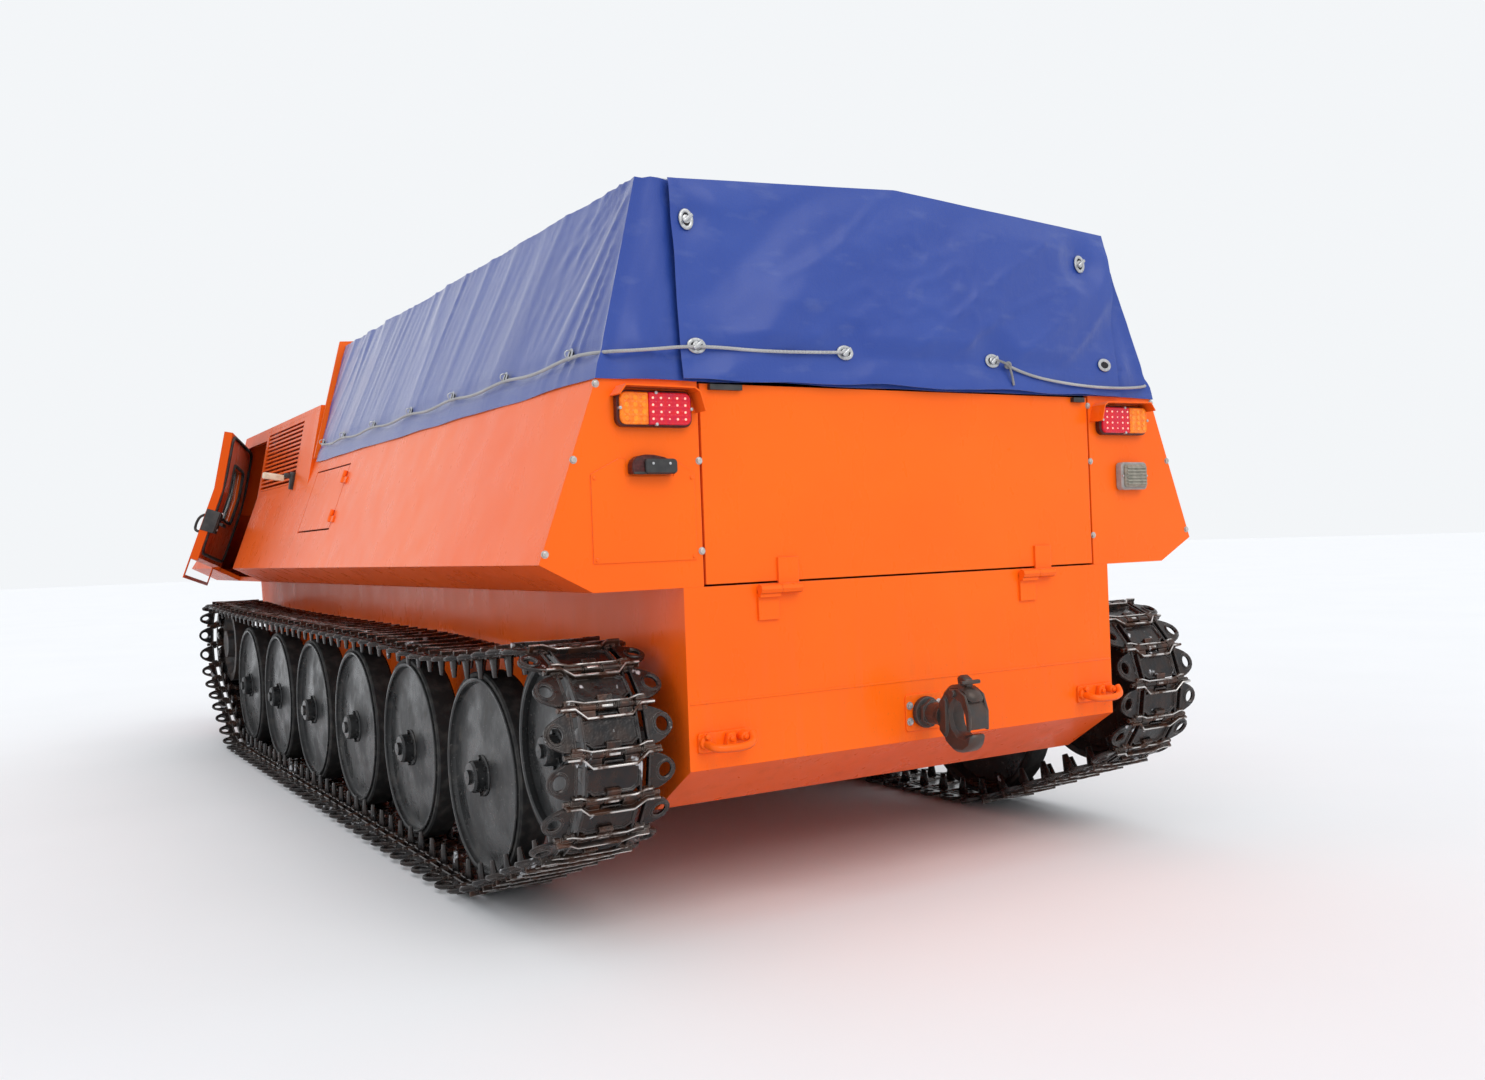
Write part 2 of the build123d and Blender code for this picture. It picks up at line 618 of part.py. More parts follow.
DOOR_AXIS = (0, HINGE_TOP[1] - HINGE_BOTTOM[1], HINGE_TOP[2] - HINGE_BOTTOM[2])


def door_line(h):
    """Plane square to the door's hinge line at a height."""
    t = (up(h) - HINGE_BOTTOM[2]) / (HINGE_TOP[2] - HINGE_BOTTOM[2])
    spot = (HINGE_BOTTOM[0], HINGE_BOTTOM[1] + t * DOOR_AXIS[1], up(h))
    return Plane(origin=spot, x_dir=(1, 0, 0), z_dir=DOOR_AXIS)


with BuildPart() as door_hinges:
    for h in DOOR_HINGE_HS:
        for one in (hinge_half(door_line(h), -50, -0.5, 54, DOOR_HINGE_IN, DOOR_KNUCKLE_R),
                    hinge_pin(door_line(h), -10, 48, DOOR_PIN_R)):
            add(one)
            add(other_side(one))
    add(cab_shell.part, mode=Mode.SUBTRACT)
save(door_hinges, "door_hinges")
with BuildPart() as door_closed:
    add(prism_x(band(DOOR_LINE, DOOR_T), JAMB_X0 + MOVE, JAMB_X1 - MOVE))
    for h in DOOR_HINGE_HS:
        add(hinge_half(door_line(h), 0.5, 50, -54, DOOR_HINGE_IN, DOOR_KNUCKLE_R))
    for h in DOOR_HINGE_HS:
        add(hinge_pin(door_line(h), 0, 60, DOOR_PIN_R + PIN_FIT), mode=Mode.SUBTRACT)
    add(box(DOOR_WIN["x0"], DOOR_WIN["x1"], 900, 1400, DOOR_WIN["h0"], DOOR_WIN["h1"]), mode=Mode.SUBTRACT)
    top = DOOR_H0 + 30
    low = DOOR_BAR_H
    frame = [
        (WIDE_Y - LEAN_LOW * (top - WIDE_H), up(top)),
        (WIDE_Y - LEAN_LOW * (top - WIDE_H) - 6, up(top)),
        (WIDE_Y - LEAN_LOW * (low - WIDE_H) - 6, up(low)),
        (WIDE_Y - LEAN_LOW * (low - WIDE_H), up(low)),
    ]
    add(prism_x(frame, JAMB_X0 + MOVE, JAMB_X1 - MOVE))
    x0, x1 = JAMB_X0 + MOVE + BAR_W, JAMB_X1 - MOVE - BAR_W
    add(box(x0, x1, CHAMFER_Y, WIDE_Y + 100, DOOR_BAR_H + BAR_W, DOOR_H0), mode=Mode.SUBTRACT)
with BuildPart() as glass_closed:
    w = DOOR_WIN
    add(prism_x([
        (wall_y(w["h0"] + SEAM) - 18, up(w["h0"] + SEAM)),
        (KINK_Y - 18, up(KINK_H)),
        (wall_y(w["h1"] - SEAM) - 18, up(w["h1"] - SEAM)),
        (wall_y(w["h1"] - SEAM) - 24, up(w["h1"] - SEAM)),
        (KINK_Y - 24, up(KINK_H)),
        (wall_y(w["h0"] + SEAM) - 24, up(w["h0"] + SEAM)),
    ], w["x0"] + SEAM, w["x1"] - SEAM))
with BuildPart() as latch_closed:
    inside = DOOR_T / cos(atan2(WIDE_Y - KINK_Y, KINK_H - WIDE_H))
    add(prism_x(wall_strip(LATCH_H - 70, LATCH_H + 70, inside, 42), JAMB_X0 + 14, JAMB_X0 + 74))

HINGE_AXIS = Axis(HINGE_BOTTOM, (0, HINGE_TOP[1] - HINGE_BOTTOM[1], HINGE_TOP[2] - HINGE_BOTTOM[2]))
for name, closed in (("door", door_closed), ("door_glass", glass_closed), ("door_latch", latch_closed)):
    with BuildPart() as left:
        add(closed.part.rotate(HINGE_AXIS, -DOOR_OPEN))
    save(left, name + "_left")
    with BuildPart() as right:
        add(other_side(closed.part))
    save(right, name + "_right")

# Wall between the cab and the engine bay.
with BuildPart() as cab_back:
    half = [
        (LEDGE_Y, up(FLOOR_H + TUB_T)),
        (LEDGE_Y, up(CHAMFER_H + SKIN_T)),
        (CHAMFER_Y - 20, up(CHAMFER_H + SKIN_T)),
        (CHAMFER_Y - 20, up(WIDE_H + 110)),
        (ROOF_Y - 60, up(ROOF_H - SKIN_T)),
    ]
    add(prism_x(half + [(-y, z) for y, z in half[::-1]], JAMB_X0 - 15, JAMB_X0))
save(cab_back, "cab_back")

# Cover: closed cloth solid, open below, leaning sides and a low ridge.
def partition_x(height):
    """Rear face of the leaning partition at a height."""
    return CARGO_X1 + BULK_LEAN * (height - DECK_H - 2) / (TARP_TOP_H - DECK_H)


def cover(d):
    """Outside of the cover moved in by d: hem, eaves and ridge joined by flat panels."""
    low_h = TARP_HEM_H - (10 if d else 0)
    low, eaves, ridge = up(low_h), up(TARP_TOP_H) - d, up(RIDGE_H) - d
    x_low, x_top = d - 10, d + TARP_TOP_X
    front_low, front_top = partition_x(low_h) - SOFT - d, partition_x(TARP_TOP_H) - SOFT - d
    y_low, y_top = DECK_Y + 14 - d, TARP_TOP_Y - d
    hem = [(x_low, y_low, low), (x_low, -y_low, low), (front_low, -y_low, low), (front_low, y_low, low)]
    eave = [(x_top, y_top, eaves), (x_top, -y_top, eaves),
            (front_top, -y_top, eaves), (front_top, y_top, eaves)]
    back, front = (x_top, 0, ridge), (front_top, 0, ridge)
    return solid_of([
        hem,
        (eave[0], back, eave[1]),
        (eave[2], front, eave[3]),
        (eave[0], eave[3], front, back),
        (eave[1], back, front, eave[2]),
        (hem[0], hem[1], eave[1], eave[0]),
        (hem[1], hem[2], eave[2], eave[1]),
        (hem[2], hem[3], eave[3], eave[2]),
        (hem[3], hem[0], eave[0], eave[3]),
    ])


with BuildPart() as tarp:
    add(cover(0))
    add(cover(TARP_T), mode=Mode.SUBTRACT)
    x0, x1, y1 = CARGO_X1 - 30, CARGO_X1 + 30, DECK_Y + 8
    add(box(x0, x1, -y1, y1, TARP_HEM_H - 20, DECK_H + SOFT), mode=Mode.SUBTRACT)
save(tarp, "tarp")

# Tie ropes: through the eyelets of the cover's edge, each side with its own.
ROPE_R, ROPE_OFF, ROPE_SIDES = 5, 6, 6
ROPE_SAG = 22
EYELET_XS = (202, 718, 1239, 1740, 2265, 2766, 3150)
EYELET_H = DECK_H + 65


def side_spot(x, h, off):
    """Point beside the cover's left side at a height."""
    y = DECK_Y + 14 - (DECK_Y + 14 - TARP_TOP_Y) * (h - TARP_HEM_H) / (TARP_TOP_H - TARP_HEM_H)
    return (x, y + off, up(h))


def rear_spot(y, h, off):
    """Point behind the cover's rear face at a height."""
    x = -10 + (TARP_TOP_X + 10) * (h - TARP_HEM_H) / (TARP_TOP_H - TARP_HEM_H)
    return (x - off, y, up(h))


def side_run(sag):
    """Rope line along one side, from the front eyelet back to the rear corner."""
    out = []
    for i in range(len(EYELET_XS) - 1, -1, -1):
        out.append(side_spot(EYELET_XS[i], EYELET_H, ROPE_OFF))
        if i > 0:
            out.append(side_spot((EYELET_XS[i] + EYELET_XS[i - 1]) / 2, EYELET_H - sag, ROPE_OFF))
    return out


def rope_corner(h):
    side, back = side_spot(0, h, ROPE_OFF + 2), rear_spot(0, h, ROPE_OFF + 2)
    return (back[0], side[1], up(h))


# Rest of each rope across the rear face: Y on the left side and height.
REAR_LEFT = [(960, DECK_H + 60), (785, DECK_H + 82), (520, DECK_H + 72), (263, DECK_H + 85)]
REAR_RIGHT = [(960, DECK_H + 10), (760, DECK_H + 10), (560, DECK_H + 28),
              (450, DECK_H + 50), (337, DECK_H + 85)]
for name, rear, h, s in (
    ("rope_left", REAR_LEFT, DECK_H + 50, 1),
    ("rope_right", REAR_RIGHT, DECK_H + 28, -1),
):
    spots = side_run(ROPE_SAG) + [rope_corner(h)] + [rear_spot(y, z, ROPE_OFF) for y, z in rear]
    with BuildPart() as rope:
        with BuildLine():
            route = Polyline(*[(x, s * y, z) for x, y, z in spots])
        with BuildSketch(Plane(origin=route @ 0, z_dir=route % 0)):
            RegularPolygon(ROPE_R, ROPE_SIDES)
        sweep(transition=Transition.RIGHT)
    save(rope, name)

# Engine, one plain block; seats; dash on its legs.
ENGINE = dict(x0=JAMB_X0 - 940, x1=JAMB_X0 - 160, y=300, h1=FLOOR_H + 898)
with BuildPart() as engine_block:
    e = ENGINE
    add(box(e["x0"], e["x1"], -e["y"], e["y"], FLOOR_H + TUB_T, e["h1"]))
save(engine_block, "engine_block")
SEAT_X, SEAT_Y, SEAT_W = JAMB_X0 + 60, 480, 480
SEAT_BASE_H, SEAT_PAD_H, SEAT_TOP_H = LOAD_FLOOR_H + 340, LOAD_FLOOR_H + 450, LOAD_FLOOR_H + 980
with BuildPart() as seats:
    for y in (SEAT_Y, -SEAT_Y):
        y0, y1 = y - SEAT_W / 2, y + SEAT_W / 2
        add(box(SEAT_X + 80, SEAT_X + 500, y0 + 10, y1 - 10, LOAD_FLOOR_H, SEAT_BASE_H))
        add(box(SEAT_X + 40, SEAT_X + 520, y0, y1, SEAT_BASE_H, SEAT_PAD_H))
        add(box(SEAT_X, SEAT_X + 100, y0, y1, SEAT_PAD_H, SEAT_TOP_H))
save(seats, "seats")
with BuildPart() as dash:
    top = SCREEN_H - 50
    add(box(SCREEN_X - 120, SCREEN_X - 40, -LEDGE_Y + 18, LEDGE_Y - 18, top - 230, top))
    for y in (-LEDGE_Y + 38, LEDGE_Y - 38):
        add(box(SCREEN_X - 120, SCREEN_X - 40, y - 20, y + 20, LOAD_FLOOR_H, top - 230))
save(dash, "dash")

# Lamps on the rear face: Y limits and heights for the left side.
TAIL = dict(y0=DECK_Y - 277, y1=DECK_Y - 42, h0=DECK_H - 154, h=102, cut=20)
PLATE_LAMP = dict(y0=TAIL["y0"] + 62, y1=TAIL["y1"] - 37, h1=TAIL["h0"] - 76, h=52, cut=16)


def cut_corners(y0, y1, h0, h1, low, top):
    """Outline of a lamp with its lower and upper corners cut off."""
    return [
        (y0, up(h0 + low)), (y0 + low, up(h0)), (y1 - low, up(h0)), (y1, up(h0 + low)),
        (y1, up(h1 - top)), (y1 - top, up(h1)), (y0 + top, up(h1)), (y0, up(h1 - top)),
    ]


def both_sides(part):
    """The part and its mirror image."""
    with BuildPart() as p:
        add(part)
        add(other_side(part))
    return p.part


with BuildPart() as tail_lamps:
    t = TAIL
    outline = cut_corners(t["y0"], t["y1"], t["h0"], t["h0"] + t["h"], t["cut"], t["cut"])
    add(both_sides(prism_x(outline, -34, 0)))
save(tail_lamps, "tail_lamps")
VISOR_T, VISOR_OUT = 4, 60
with BuildPart() as lamp_visors:
    top = TAIL["h0"] + TAIL["h"]
    bent = [
        (TAIL["y0"] - 24, up(top - 58)),
        (TAIL["y0"] - 8, up(top - 4)),
        (TAIL["y0"] + 8, up(top + 6)),
        (TAIL["y1"] - 14, up(top + 8)),
        (TAIL["y1"] + 6, up(top - 18)),
    ]
    add(both_sides(prism_x(band(bent, VISOR_T), -VISOR_OUT, 0)))
save(lamp_visors, "lamp_visors")
with BuildPart() as reversing_lamp:
    add(box(-45, 0, -1036, -908, TAIL["h0"] - 194, TAIL["h0"] - 97))
save(reversing_lamp, "reversing_lamp")
with BuildPart() as plate_lamp:
    p = PLATE_LAMP
    outline = cut_corners(p["y0"], p["y1"], p["h1"] - p["h"], p["h1"], 6, p["cut"])
    add(prism_x(outline, -45, 0))
save(plate_lamp, "plate_lamp")
with BuildPart() as plate_sheet:
    low, top, gap = WIDE_H - 3, PLATE_LAMP["h1"], 7
    add(prism_x([(803, up(low)), (1126, up(low)), (1126, up(top - 54)), (1040, up(top - 10)),
                 (870, up(top - 10)), (803, up(top - 53))], -3, 0))
    add(box(-60, 1, p["y0"] - gap, p["y1"] + gap, p["h1"] - p["h"] - gap, top + 20), mode=Mode.SUBTRACT)
save(plate_sheet, "plate_sheet")
LAMP_H, LAMP_R = CHAMFER_H + 45, 80
with BuildPart() as headlamps:
    for s in (1, -1):
        add(rod((NOSE_X, s * 760, up(LAMP_H)), (NOSE_X + 70, s * 760, up(LAMP_H)), LAMP_R, LAMP_SIDES))
save(headlamps, "headlamps")

# Towing gear: a shackle hook on a round shank, low lugs on the corners, eyes on the bow.
HOOK_R, HOOK_W = 34, 60
HOOK_JAW = [
    (-112, -34), (-112, 34), (-128, 72), (-158, 98), (-200, 104), (-240, 90), (-262, 60), (-250, 46),
    (-222, 62), (-192, 58), (-172, 36), (-166, 6), (-174, -28), (-196, -50), (-226, -54), (-248, -40),
    (-262, -52), (-250, -84), (-216, -104), (-172, -104), (-134, -80),
]
HOOK_LATCH = [
    (-178, 70), (-214, 78), (-240, 62), (-258, 20), (-258, -30), (-246, -30), (-238, 14), (-222, 44),
]
with BuildPart() as pintle_hook:
    add(box(-18, 0, -75, 75, HOOK_H - 60, HOOK_H + 60))
    add(rod((-18, 0, 0), (-120, 0, 0), HOOK_R))
    add(rod((-18, 0, 0), (-30, 0, 0), HOOK_R + 16))
    add(prism_y(HOOK_JAW, -HOOK_W / 2, HOOK_W / 2))
    add(prism_y(HOOK_LATCH, -HOOK_W / 2 - 10, HOOK_W / 2 + 10))
save(pintle_hook, "pintle_hook")
TOW_H, TOW_W = HOOK_H - 10, 80
TOW_LUG = [(0, -16), (-46, -16), (-72, -4), (-82, 18), (-74, 40), (-60, 36), (-60, 20), (-50, 8), (0, 8)]
with BuildPart() as tow_hooks_rear:
    for y in (740, -760):
        add(box(-14, 0, y - 85, y + 85, TOW_H - 30, TOW_H + 30))
        add(prism_y([(x, up(TOW_H) + z) for x, z in TOW_LUG], y - TOW_W / 2, y + TOW_W / 2))
save(tow_hooks_rear, "tow_hooks_rear")
BOW_LUG_H = BOW_H + 70


def bow_x(height):
    """Bow's face at a height."""
    return BOW_X + (NOSE_X - BOW_X) * (height - BOW_H) / (CHAMFER_H - BOW_H)


with BuildPart() as tow_hooks_front:
    for y in (620, -620):
        h0, h1 = BOW_LUG_H, BOW_LUG_H + 80
        x0 = bow_x(h0)
        add(prism_y([(x0, up(h0)), (x0 + 60, up(h0 + 15)), (x0 + 60, up(h1 - 15)), (bow_x(h1), up(h1))],
                    y - 20, y + 20))
save(tow_hooks_front, "tow_hooks_front")


# Track: a fixed loop of shoes over idler, wheels and sprocket.
def tangent(c1, r1, c2, r2):
    """Ends of the line touching two circles on its right-hand side, both run anticlockwise."""
    dx, dz = c2[0] - c1[0], c2[1] - c1[1]
    base, dist = atan2(dz, dx), hypot(dx, dz)
    turn = base - pi / 2 + (0 if r1 == r2 else -atan2(r2 - r1, sqrt(dist * dist - (r2 - r1) ** 2)))
    n = (cos(turn), sin(turn))
    return (c1[0] + r1 * n[0], c1[1] + r1 * n[1]), (c2[0] + r2 * n[0], c2[1] + r2 * n[1])


# Circles the middle line of the track runs round: x, height, radius.
RUN = WHEEL_R + PLATE_IN + FIT
LOOP = [
    (IDLER_X, IDLER_H, IDLER_R),
    (WHEEL_X0, WHEEL_H, RUN),
    (WHEEL_X0 + WHEEL_PITCH * (WHEELS - 1), WHEEL_H, RUN),
    (SPROCKET_X, SPROCKET_H, SPROCKET_R),
]
# Lowest places of the top run between sprocket and idler: x, height.
SAG = [(4700, 822), (3300, 806), (1900, 796), (1050, 776)]


def track_line():
    """Middle line of the track as close points, from the idler's foot round and back."""
    pts = []
    n = len(LOOP)
    ends = [tangent(a[:2], a[2], b[:2], b[2]) for a, b in zip(LOOP, LOOP[1:])]
    for i, (x, h, r) in enumerate(LOOP):
        if i == 0:
            continue
        a = ends[i - 1][1]
        start = atan2(a[1] - h, a[0] - x)
        if i < n - 1:
            b = ends[i][0]
            stop = atan2(b[1] - h, b[0] - x)
        else:
            stop = pi / 2 + 0.02
        while stop < start - 1e-9:
            stop += 2 * pi
        steps = max(1, int((stop - start) * r / 20))
        for k in range(steps + 1):
            t = start + (stop - start) * k / steps
            pts.append((x + r * cos(t), h + r * sin(t)))
    top = [pts[-1]] + SAG + [(IDLER_X + 60, IDLER_H + sqrt(IDLER_R ** 2 - 60 ** 2))]
    for k in range(len(top) - 1):
        p0 = top[max(k - 1, 0)]
        p1, p2 = top[k], top[k + 1]
        p3 = top[min(k + 2, len(top) - 1)]
        for j in range(1, 31):
            t = j / 30
            pts.append(tuple(
                b + 0.5 * t * (c - a + t * (2 * a - 5 * b + 4 * c - d + t * (3 * b - a - 3 * c + d)))
                for a, b, c, d in zip(p0, p1, p2, p3)))
    x, h, r = LOOP[0]
    start = atan2(pts[-1][1] - h, pts[-1][0] - x)
    b = ends[0][0]
    stop = atan2(b[1] - h, b[0] - x)
    while stop < start:
        stop += 2 * pi
    for k in range(1, 61):
        t = start + (stop - start) * k / 60
        pts.append((x + r * cos(t), h + r * sin(t)))
    return pts


def along(pts, shares):
    """Points at shares 0 to 1 of the closed line's length."""
    closed = pts + [pts[0]]
    run = [0]
    for a, b in zip(closed, closed[1:]):
        run.append(run[-1] + hypot(b[0] - a[0], b[1] - a[1]))
    out, k = [], 0
    for share in shares:
        s = run[-1] * share
        while run[k + 1] < s:
            k += 1
        t = (s - run[k]) / (run[k + 1] - run[k])
        out.append((closed[k][0] + t * (closed[k + 1][0] - closed[k][0]),
                    closed[k][1] + t * (closed[k + 1][1] - closed[k][1])))
    return out


def loop_length(pts):
    return sum(hypot(b[0] - a[0], b[1] - a[1]) for a, b in zip(pts, pts[1:] + pts[:1]))


LINE = track_line()
SHOES = round(loop_length(LINE) / SHOE_PITCH)
JOINTS = along(LINE, [i / SHOES for i in range(SHOES)])
QUARTERS = along(LINE, [i / SHOES / 4 for i in range(SHOES * 4)])


def side_step(a, b, f, d):
    """Point at share f from a to b, moved d to the right of that way."""
    length = hypot(b[0] - a[0], b[1] - a[1])
    tx, tz = (b[0] - a[0]) / length, (b[1] - a[1]) / length
    return (a[0] + tx * length * f + tz * d, GND + a[1] + tz * length * f - tx * d)


# One shoe's outside: share of its length, height over the middle line.
SHOE = [(0.10, PLATE_OUT), (0.42, PLATE_OUT), (0.46, LUG_H), (0.62, LUG_H)]


def track_outside():
    out = []
    for i in range(SHOES):
        for f, d in SHOE:
            out.append(side_step(JOINTS[i], JOINTS[(i + 1) % SHOES], f, d))
    return out


def track_inside():
    """Inner outline: close points where the loop bends, one a shoe where it is straight."""
    out = []
    n = len(QUARTERS)
    for i in range(n):
        a, b, c = QUARTERS[i - 1], QUARTERS[i], QUARTERS[(i + 1) % n]
        bend = atan2(c[1] - b[1], c[0] - b[0]) - atan2(b[1] - a[1], b[0] - a[0])
        bend = abs((bend + pi) % (2 * pi) - pi)
        if bend > 0.02 or i % 8 == 0:
            out.append(side_step(a, c, 0.5, -PLATE_IN) if bend <= 0.02 else inner_point(a, b, c))
    return out


def inner_point(a, b, c):
    """Point b moved inwards at right angles to the way from a to c."""
    length = hypot(c[0] - a[0], c[1] - a[1])
    tx, tz = (c[0] - a[0]) / length, (c[1] - a[1]) / length
    return (b[0] - tz * PLATE_IN, GND + b[1] + tx * PLATE_IN)


with BuildPart() as track_left:
    y0, y1 = TRACK_Y - TRACK_W / 2, TRACK_Y + TRACK_W / 2
    add(prism_y(track_outside(), y0, y1))
    add(prism_y(track_inside(), y0 - 1, y1 + 1), mode=Mode.SUBTRACT)
save(track_left, "track_left")
with BuildPart() as track_right:
    add(other_side(track_left.part))
save(track_right, "track_right")

# Road wheels: dished disc, rim lip, tyre; radius and offset from the middle.
half = WHEEL_W / 2
RIM_BACK, DISH_OUT, HUB_R, HUB_OUT = 8, 36, 70, 46
WHEEL_LIP, WHEEL_DISH = WHEEL_R - 18, WHEEL_R - 47
WHEEL_SHAPE = [
    (0, RIM_BACK), (WHEEL_DISH - 10, RIM_BACK), (WHEEL_DISH, -half), (WHEEL_R, -half), (WHEEL_R, half - 4),
    (WHEEL_LIP, half - 4), (WHEEL_LIP, half), (WHEEL_LIP - 11, half), (WHEEL_DISH, DISH_OUT),
    (HUB_R, DISH_OUT - 6), (HUB_R - 8, HUB_OUT), (0, HUB_OUT),
]
WHEEL_XS = [WHEEL_X0 + WHEEL_PITCH * i for i in range(WHEELS)]
with BuildPart() as road_wheels_left:
    for x in WHEEL_XS:
        add(spin_y(WHEEL_SHAPE, x, TRACK_Y, up(WHEEL_H)))
save(road_wheels_left, "road_wheels_left")
with BuildPart() as road_wheels_right:
    add(other_side(road_wheels_left.part))
save(road_wheels_right, "road_wheels_right")

IDLER_RIM = IDLER_R - PLATE_IN - FIT
IDLER_LIP, IDLER_DISH = IDLER_RIM - 29, IDLER_RIM - 51
IDLER_SHAPE = [
    (0, RIM_BACK), (IDLER_DISH - 6, RIM_BACK), (IDLER_DISH, -half), (IDLER_RIM, -half),
    (IDLER_RIM, half - 14), (IDLER_LIP, half - 14), (IDLER_LIP, half), (IDLER_LIP - 12, half),
    (IDLER_DISH, DISH_OUT), (HUB_R - 10, DISH_OUT - 6), (HUB_R - 18, HUB_OUT), (0, HUB_OUT),
]
with BuildPart() as idlers:
    for s in (1, -1):
        one = spin_y(IDLER_SHAPE, IDLER_X, TRACK_Y, up(IDLER_H))
        add(one if s > 0 else other_side(one))
save(idlers, "idlers")

SPROCKET_RIM = SPROCKET_R - PLATE_IN - FIT - 2
with BuildPart() as sprockets:
    for s in (1, -1):
        one = spin_y([(0, -RIM_BACK), (SPROCKET_RIM - 60, -RIM_BACK), (SPROCKET_RIM - 40, -50),
                      (SPROCKET_RIM, -50), (SPROCKET_RIM, 50), (SPROCKET_RIM - 40, 50),
                      (SPROCKET_RIM - 60, 8), (90, 20), (84, 70), (0, 70)],
                     SPROCKET_X, TRACK_Y, up(SPROCKET_H))
        add(one if s > 0 else other_side(one))
save(sprockets, "sprockets")

# Swing arms and axles: from a pivot on the tub's side to each wheel.
ARM_BACK, ARM_UP, ARM_T, ARM_R, PIVOT_R = 250, 95, 26, 45, 52
AXLE_END = TRACK_Y + RIM_BACK


def arm_outline(a, b, radius):
    """Bar in X and Z with blunt rounded ends about points a and b."""
    tilt = atan2(b[1] - a[1], b[0] - a[0])
    out = []
    for (x, z), turn in ((b, tilt - pi / 2), (a, tilt + pi / 2)):
        out += [(x + radius * cos(turn + pi * k / 4), z + radius * sin(turn + pi * k / 4)) for k in range(5)]
    return out


with BuildPart() as arms_left:
    for x in WHEEL_XS:
        wheel = (x, up(WHEEL_H))
        pivot = (x + ARM_BACK, up(WHEEL_H) + ARM_UP)
        add(rod((pivot[0], TUB_Y, pivot[1]), (pivot[0], TUB_Y + 40, pivot[1]), PIVOT_R))
        add(prism_y(arm_outline(wheel, pivot, ARM_R), TUB_Y + 40, TUB_Y + 40 + ARM_T))
        add(rod((x, TUB_Y + 50, wheel[1]), (x, AXLE_END, wheel[1]), AXLE_R))
    add(rod((IDLER_X, TUB_Y, up(IDLER_H)), (IDLER_X, AXLE_END, up(IDLER_H)), AXLE_R))
save(arms_left, "arms_left")
with BuildPart() as arms_right:
    add(other_side(arms_left.part))
save(arms_right, "arms_right")
with BuildPart() as final_drives:
    for s in (1, -1):
        one = rod((SPROCKET_X, TUB_Y, up(SPROCKET_H)), (SPROCKET_X, TRACK_Y - RIM_BACK, up(SPROCKET_H)), 70)
        add(one if s > 0 else other_side(one))
save(final_drives, "final_drives")
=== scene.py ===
from math import atan2, cos, hypot, pi, radians, sin, sqrt

import bpy
import numpy as np
from mathutils import Matrix, Vector, noise


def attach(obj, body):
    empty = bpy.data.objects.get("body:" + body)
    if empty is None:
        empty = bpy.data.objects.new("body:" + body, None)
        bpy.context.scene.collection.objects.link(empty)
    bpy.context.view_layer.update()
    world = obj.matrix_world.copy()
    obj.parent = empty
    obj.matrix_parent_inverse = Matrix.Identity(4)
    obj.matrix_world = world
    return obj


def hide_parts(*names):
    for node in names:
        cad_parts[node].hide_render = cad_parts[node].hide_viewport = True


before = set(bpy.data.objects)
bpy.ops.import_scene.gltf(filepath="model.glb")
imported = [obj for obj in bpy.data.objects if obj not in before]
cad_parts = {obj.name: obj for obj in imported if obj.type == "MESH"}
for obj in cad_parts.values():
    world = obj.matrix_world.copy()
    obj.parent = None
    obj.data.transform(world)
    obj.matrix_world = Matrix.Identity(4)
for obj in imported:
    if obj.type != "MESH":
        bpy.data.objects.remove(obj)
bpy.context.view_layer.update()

# Viewpoint: behind and to the left of the vehicle at about a person's chest,
# through a 31 mm lens, with the small lean of a hand-held picture.
GROUND = -0.570
EYE = (-3.203, 2.598, 0.559)
YAW, PITCH, ROLL = -0.5467, 0.0016, -0.0371
SENSOR_MM, LENS_MM = 36, 31.18


def thing(name, data):
    """New object in the scene."""
    made = bpy.data.objects.new(name, data)
    bpy.context.scene.collection.objects.link(made)
    return made


ahead = Vector((cos(YAW) * cos(PITCH), sin(YAW) * cos(PITCH), sin(PITCH)))
level_right = Vector((sin(YAW), -cos(YAW), 0))
level_up = level_right.cross(ahead)
right = cos(ROLL) * level_right + sin(ROLL) * level_up
upward = cos(ROLL) * level_up - sin(ROLL) * level_right
lens = bpy.data.cameras.new("viewpoint")
lens.sensor_width, lens.lens = SENSOR_MM, LENS_MM
viewpoint = thing("viewpoint", lens)
viewpoint.matrix_world = Matrix.Translation(EYE) @ Matrix((right, upward, -ahead)).transposed().to_4x4()
bpy.context.scene.camera = viewpoint


# Tie ropes: three-strand synthetic rope, laced through the eyelets of the cover's hem. Each
# side has its own, from the front eyelet back and round the rear corner, and the right one
# ends in a knot with a loop and a tail.
def up(height):
    """Z of a height above the ground, both in metres."""
    return GROUND + height


def material(name):
    """New material and its node tree."""
    made = bpy.data.materials.new(name)
    made.use_nodes = True
    return made, made.node_tree


def plug(tree, node, sockets):
    """Each socket takes its constant, or a link where the value is another node's socket."""
    for name, value in dict(sockets).items():
        socket = node.inputs[name]
        if isinstance(value, bpy.types.NodeSocket):
            tree.links.new(value, socket)
        else:
            socket.default_value = (*value, 1) if socket.type == "RGBA" else value


def add(tree, kind, sockets=(), output=0, **settings):
    """New node with its settings and sockets; gives back one of its outputs."""
    node = tree.nodes.new("ShaderNode" + kind)
    for name, value in settings.items():
        setattr(node, name, value)
    plug(tree, node, sockets)
    return node.outputs[output]


def grain(tree, scale, detail, place=None):
    """Noise of 0 to 1 over the object, or over other coordinates."""
    sockets = {"Scale": scale, "Detail": detail, "Vector": place or add(tree, "TexCoord", output="Object")}
    return add(tree, "TexNoise", sockets, "Fac")


def calc(tree, operation, *values):
    """Result of a sum on sockets and numbers."""
    return add(tree, "Math", enumerate(values), operation=operation)


def coats(tree, base, *layers):
    """Colours over a base colour, each with the share of it that shows."""
    for colour, share in layers:
        base = add(tree, "Mix", {"A": base, "B": colour, "Factor": share}, "Result", data_type="RGBA")
    return base


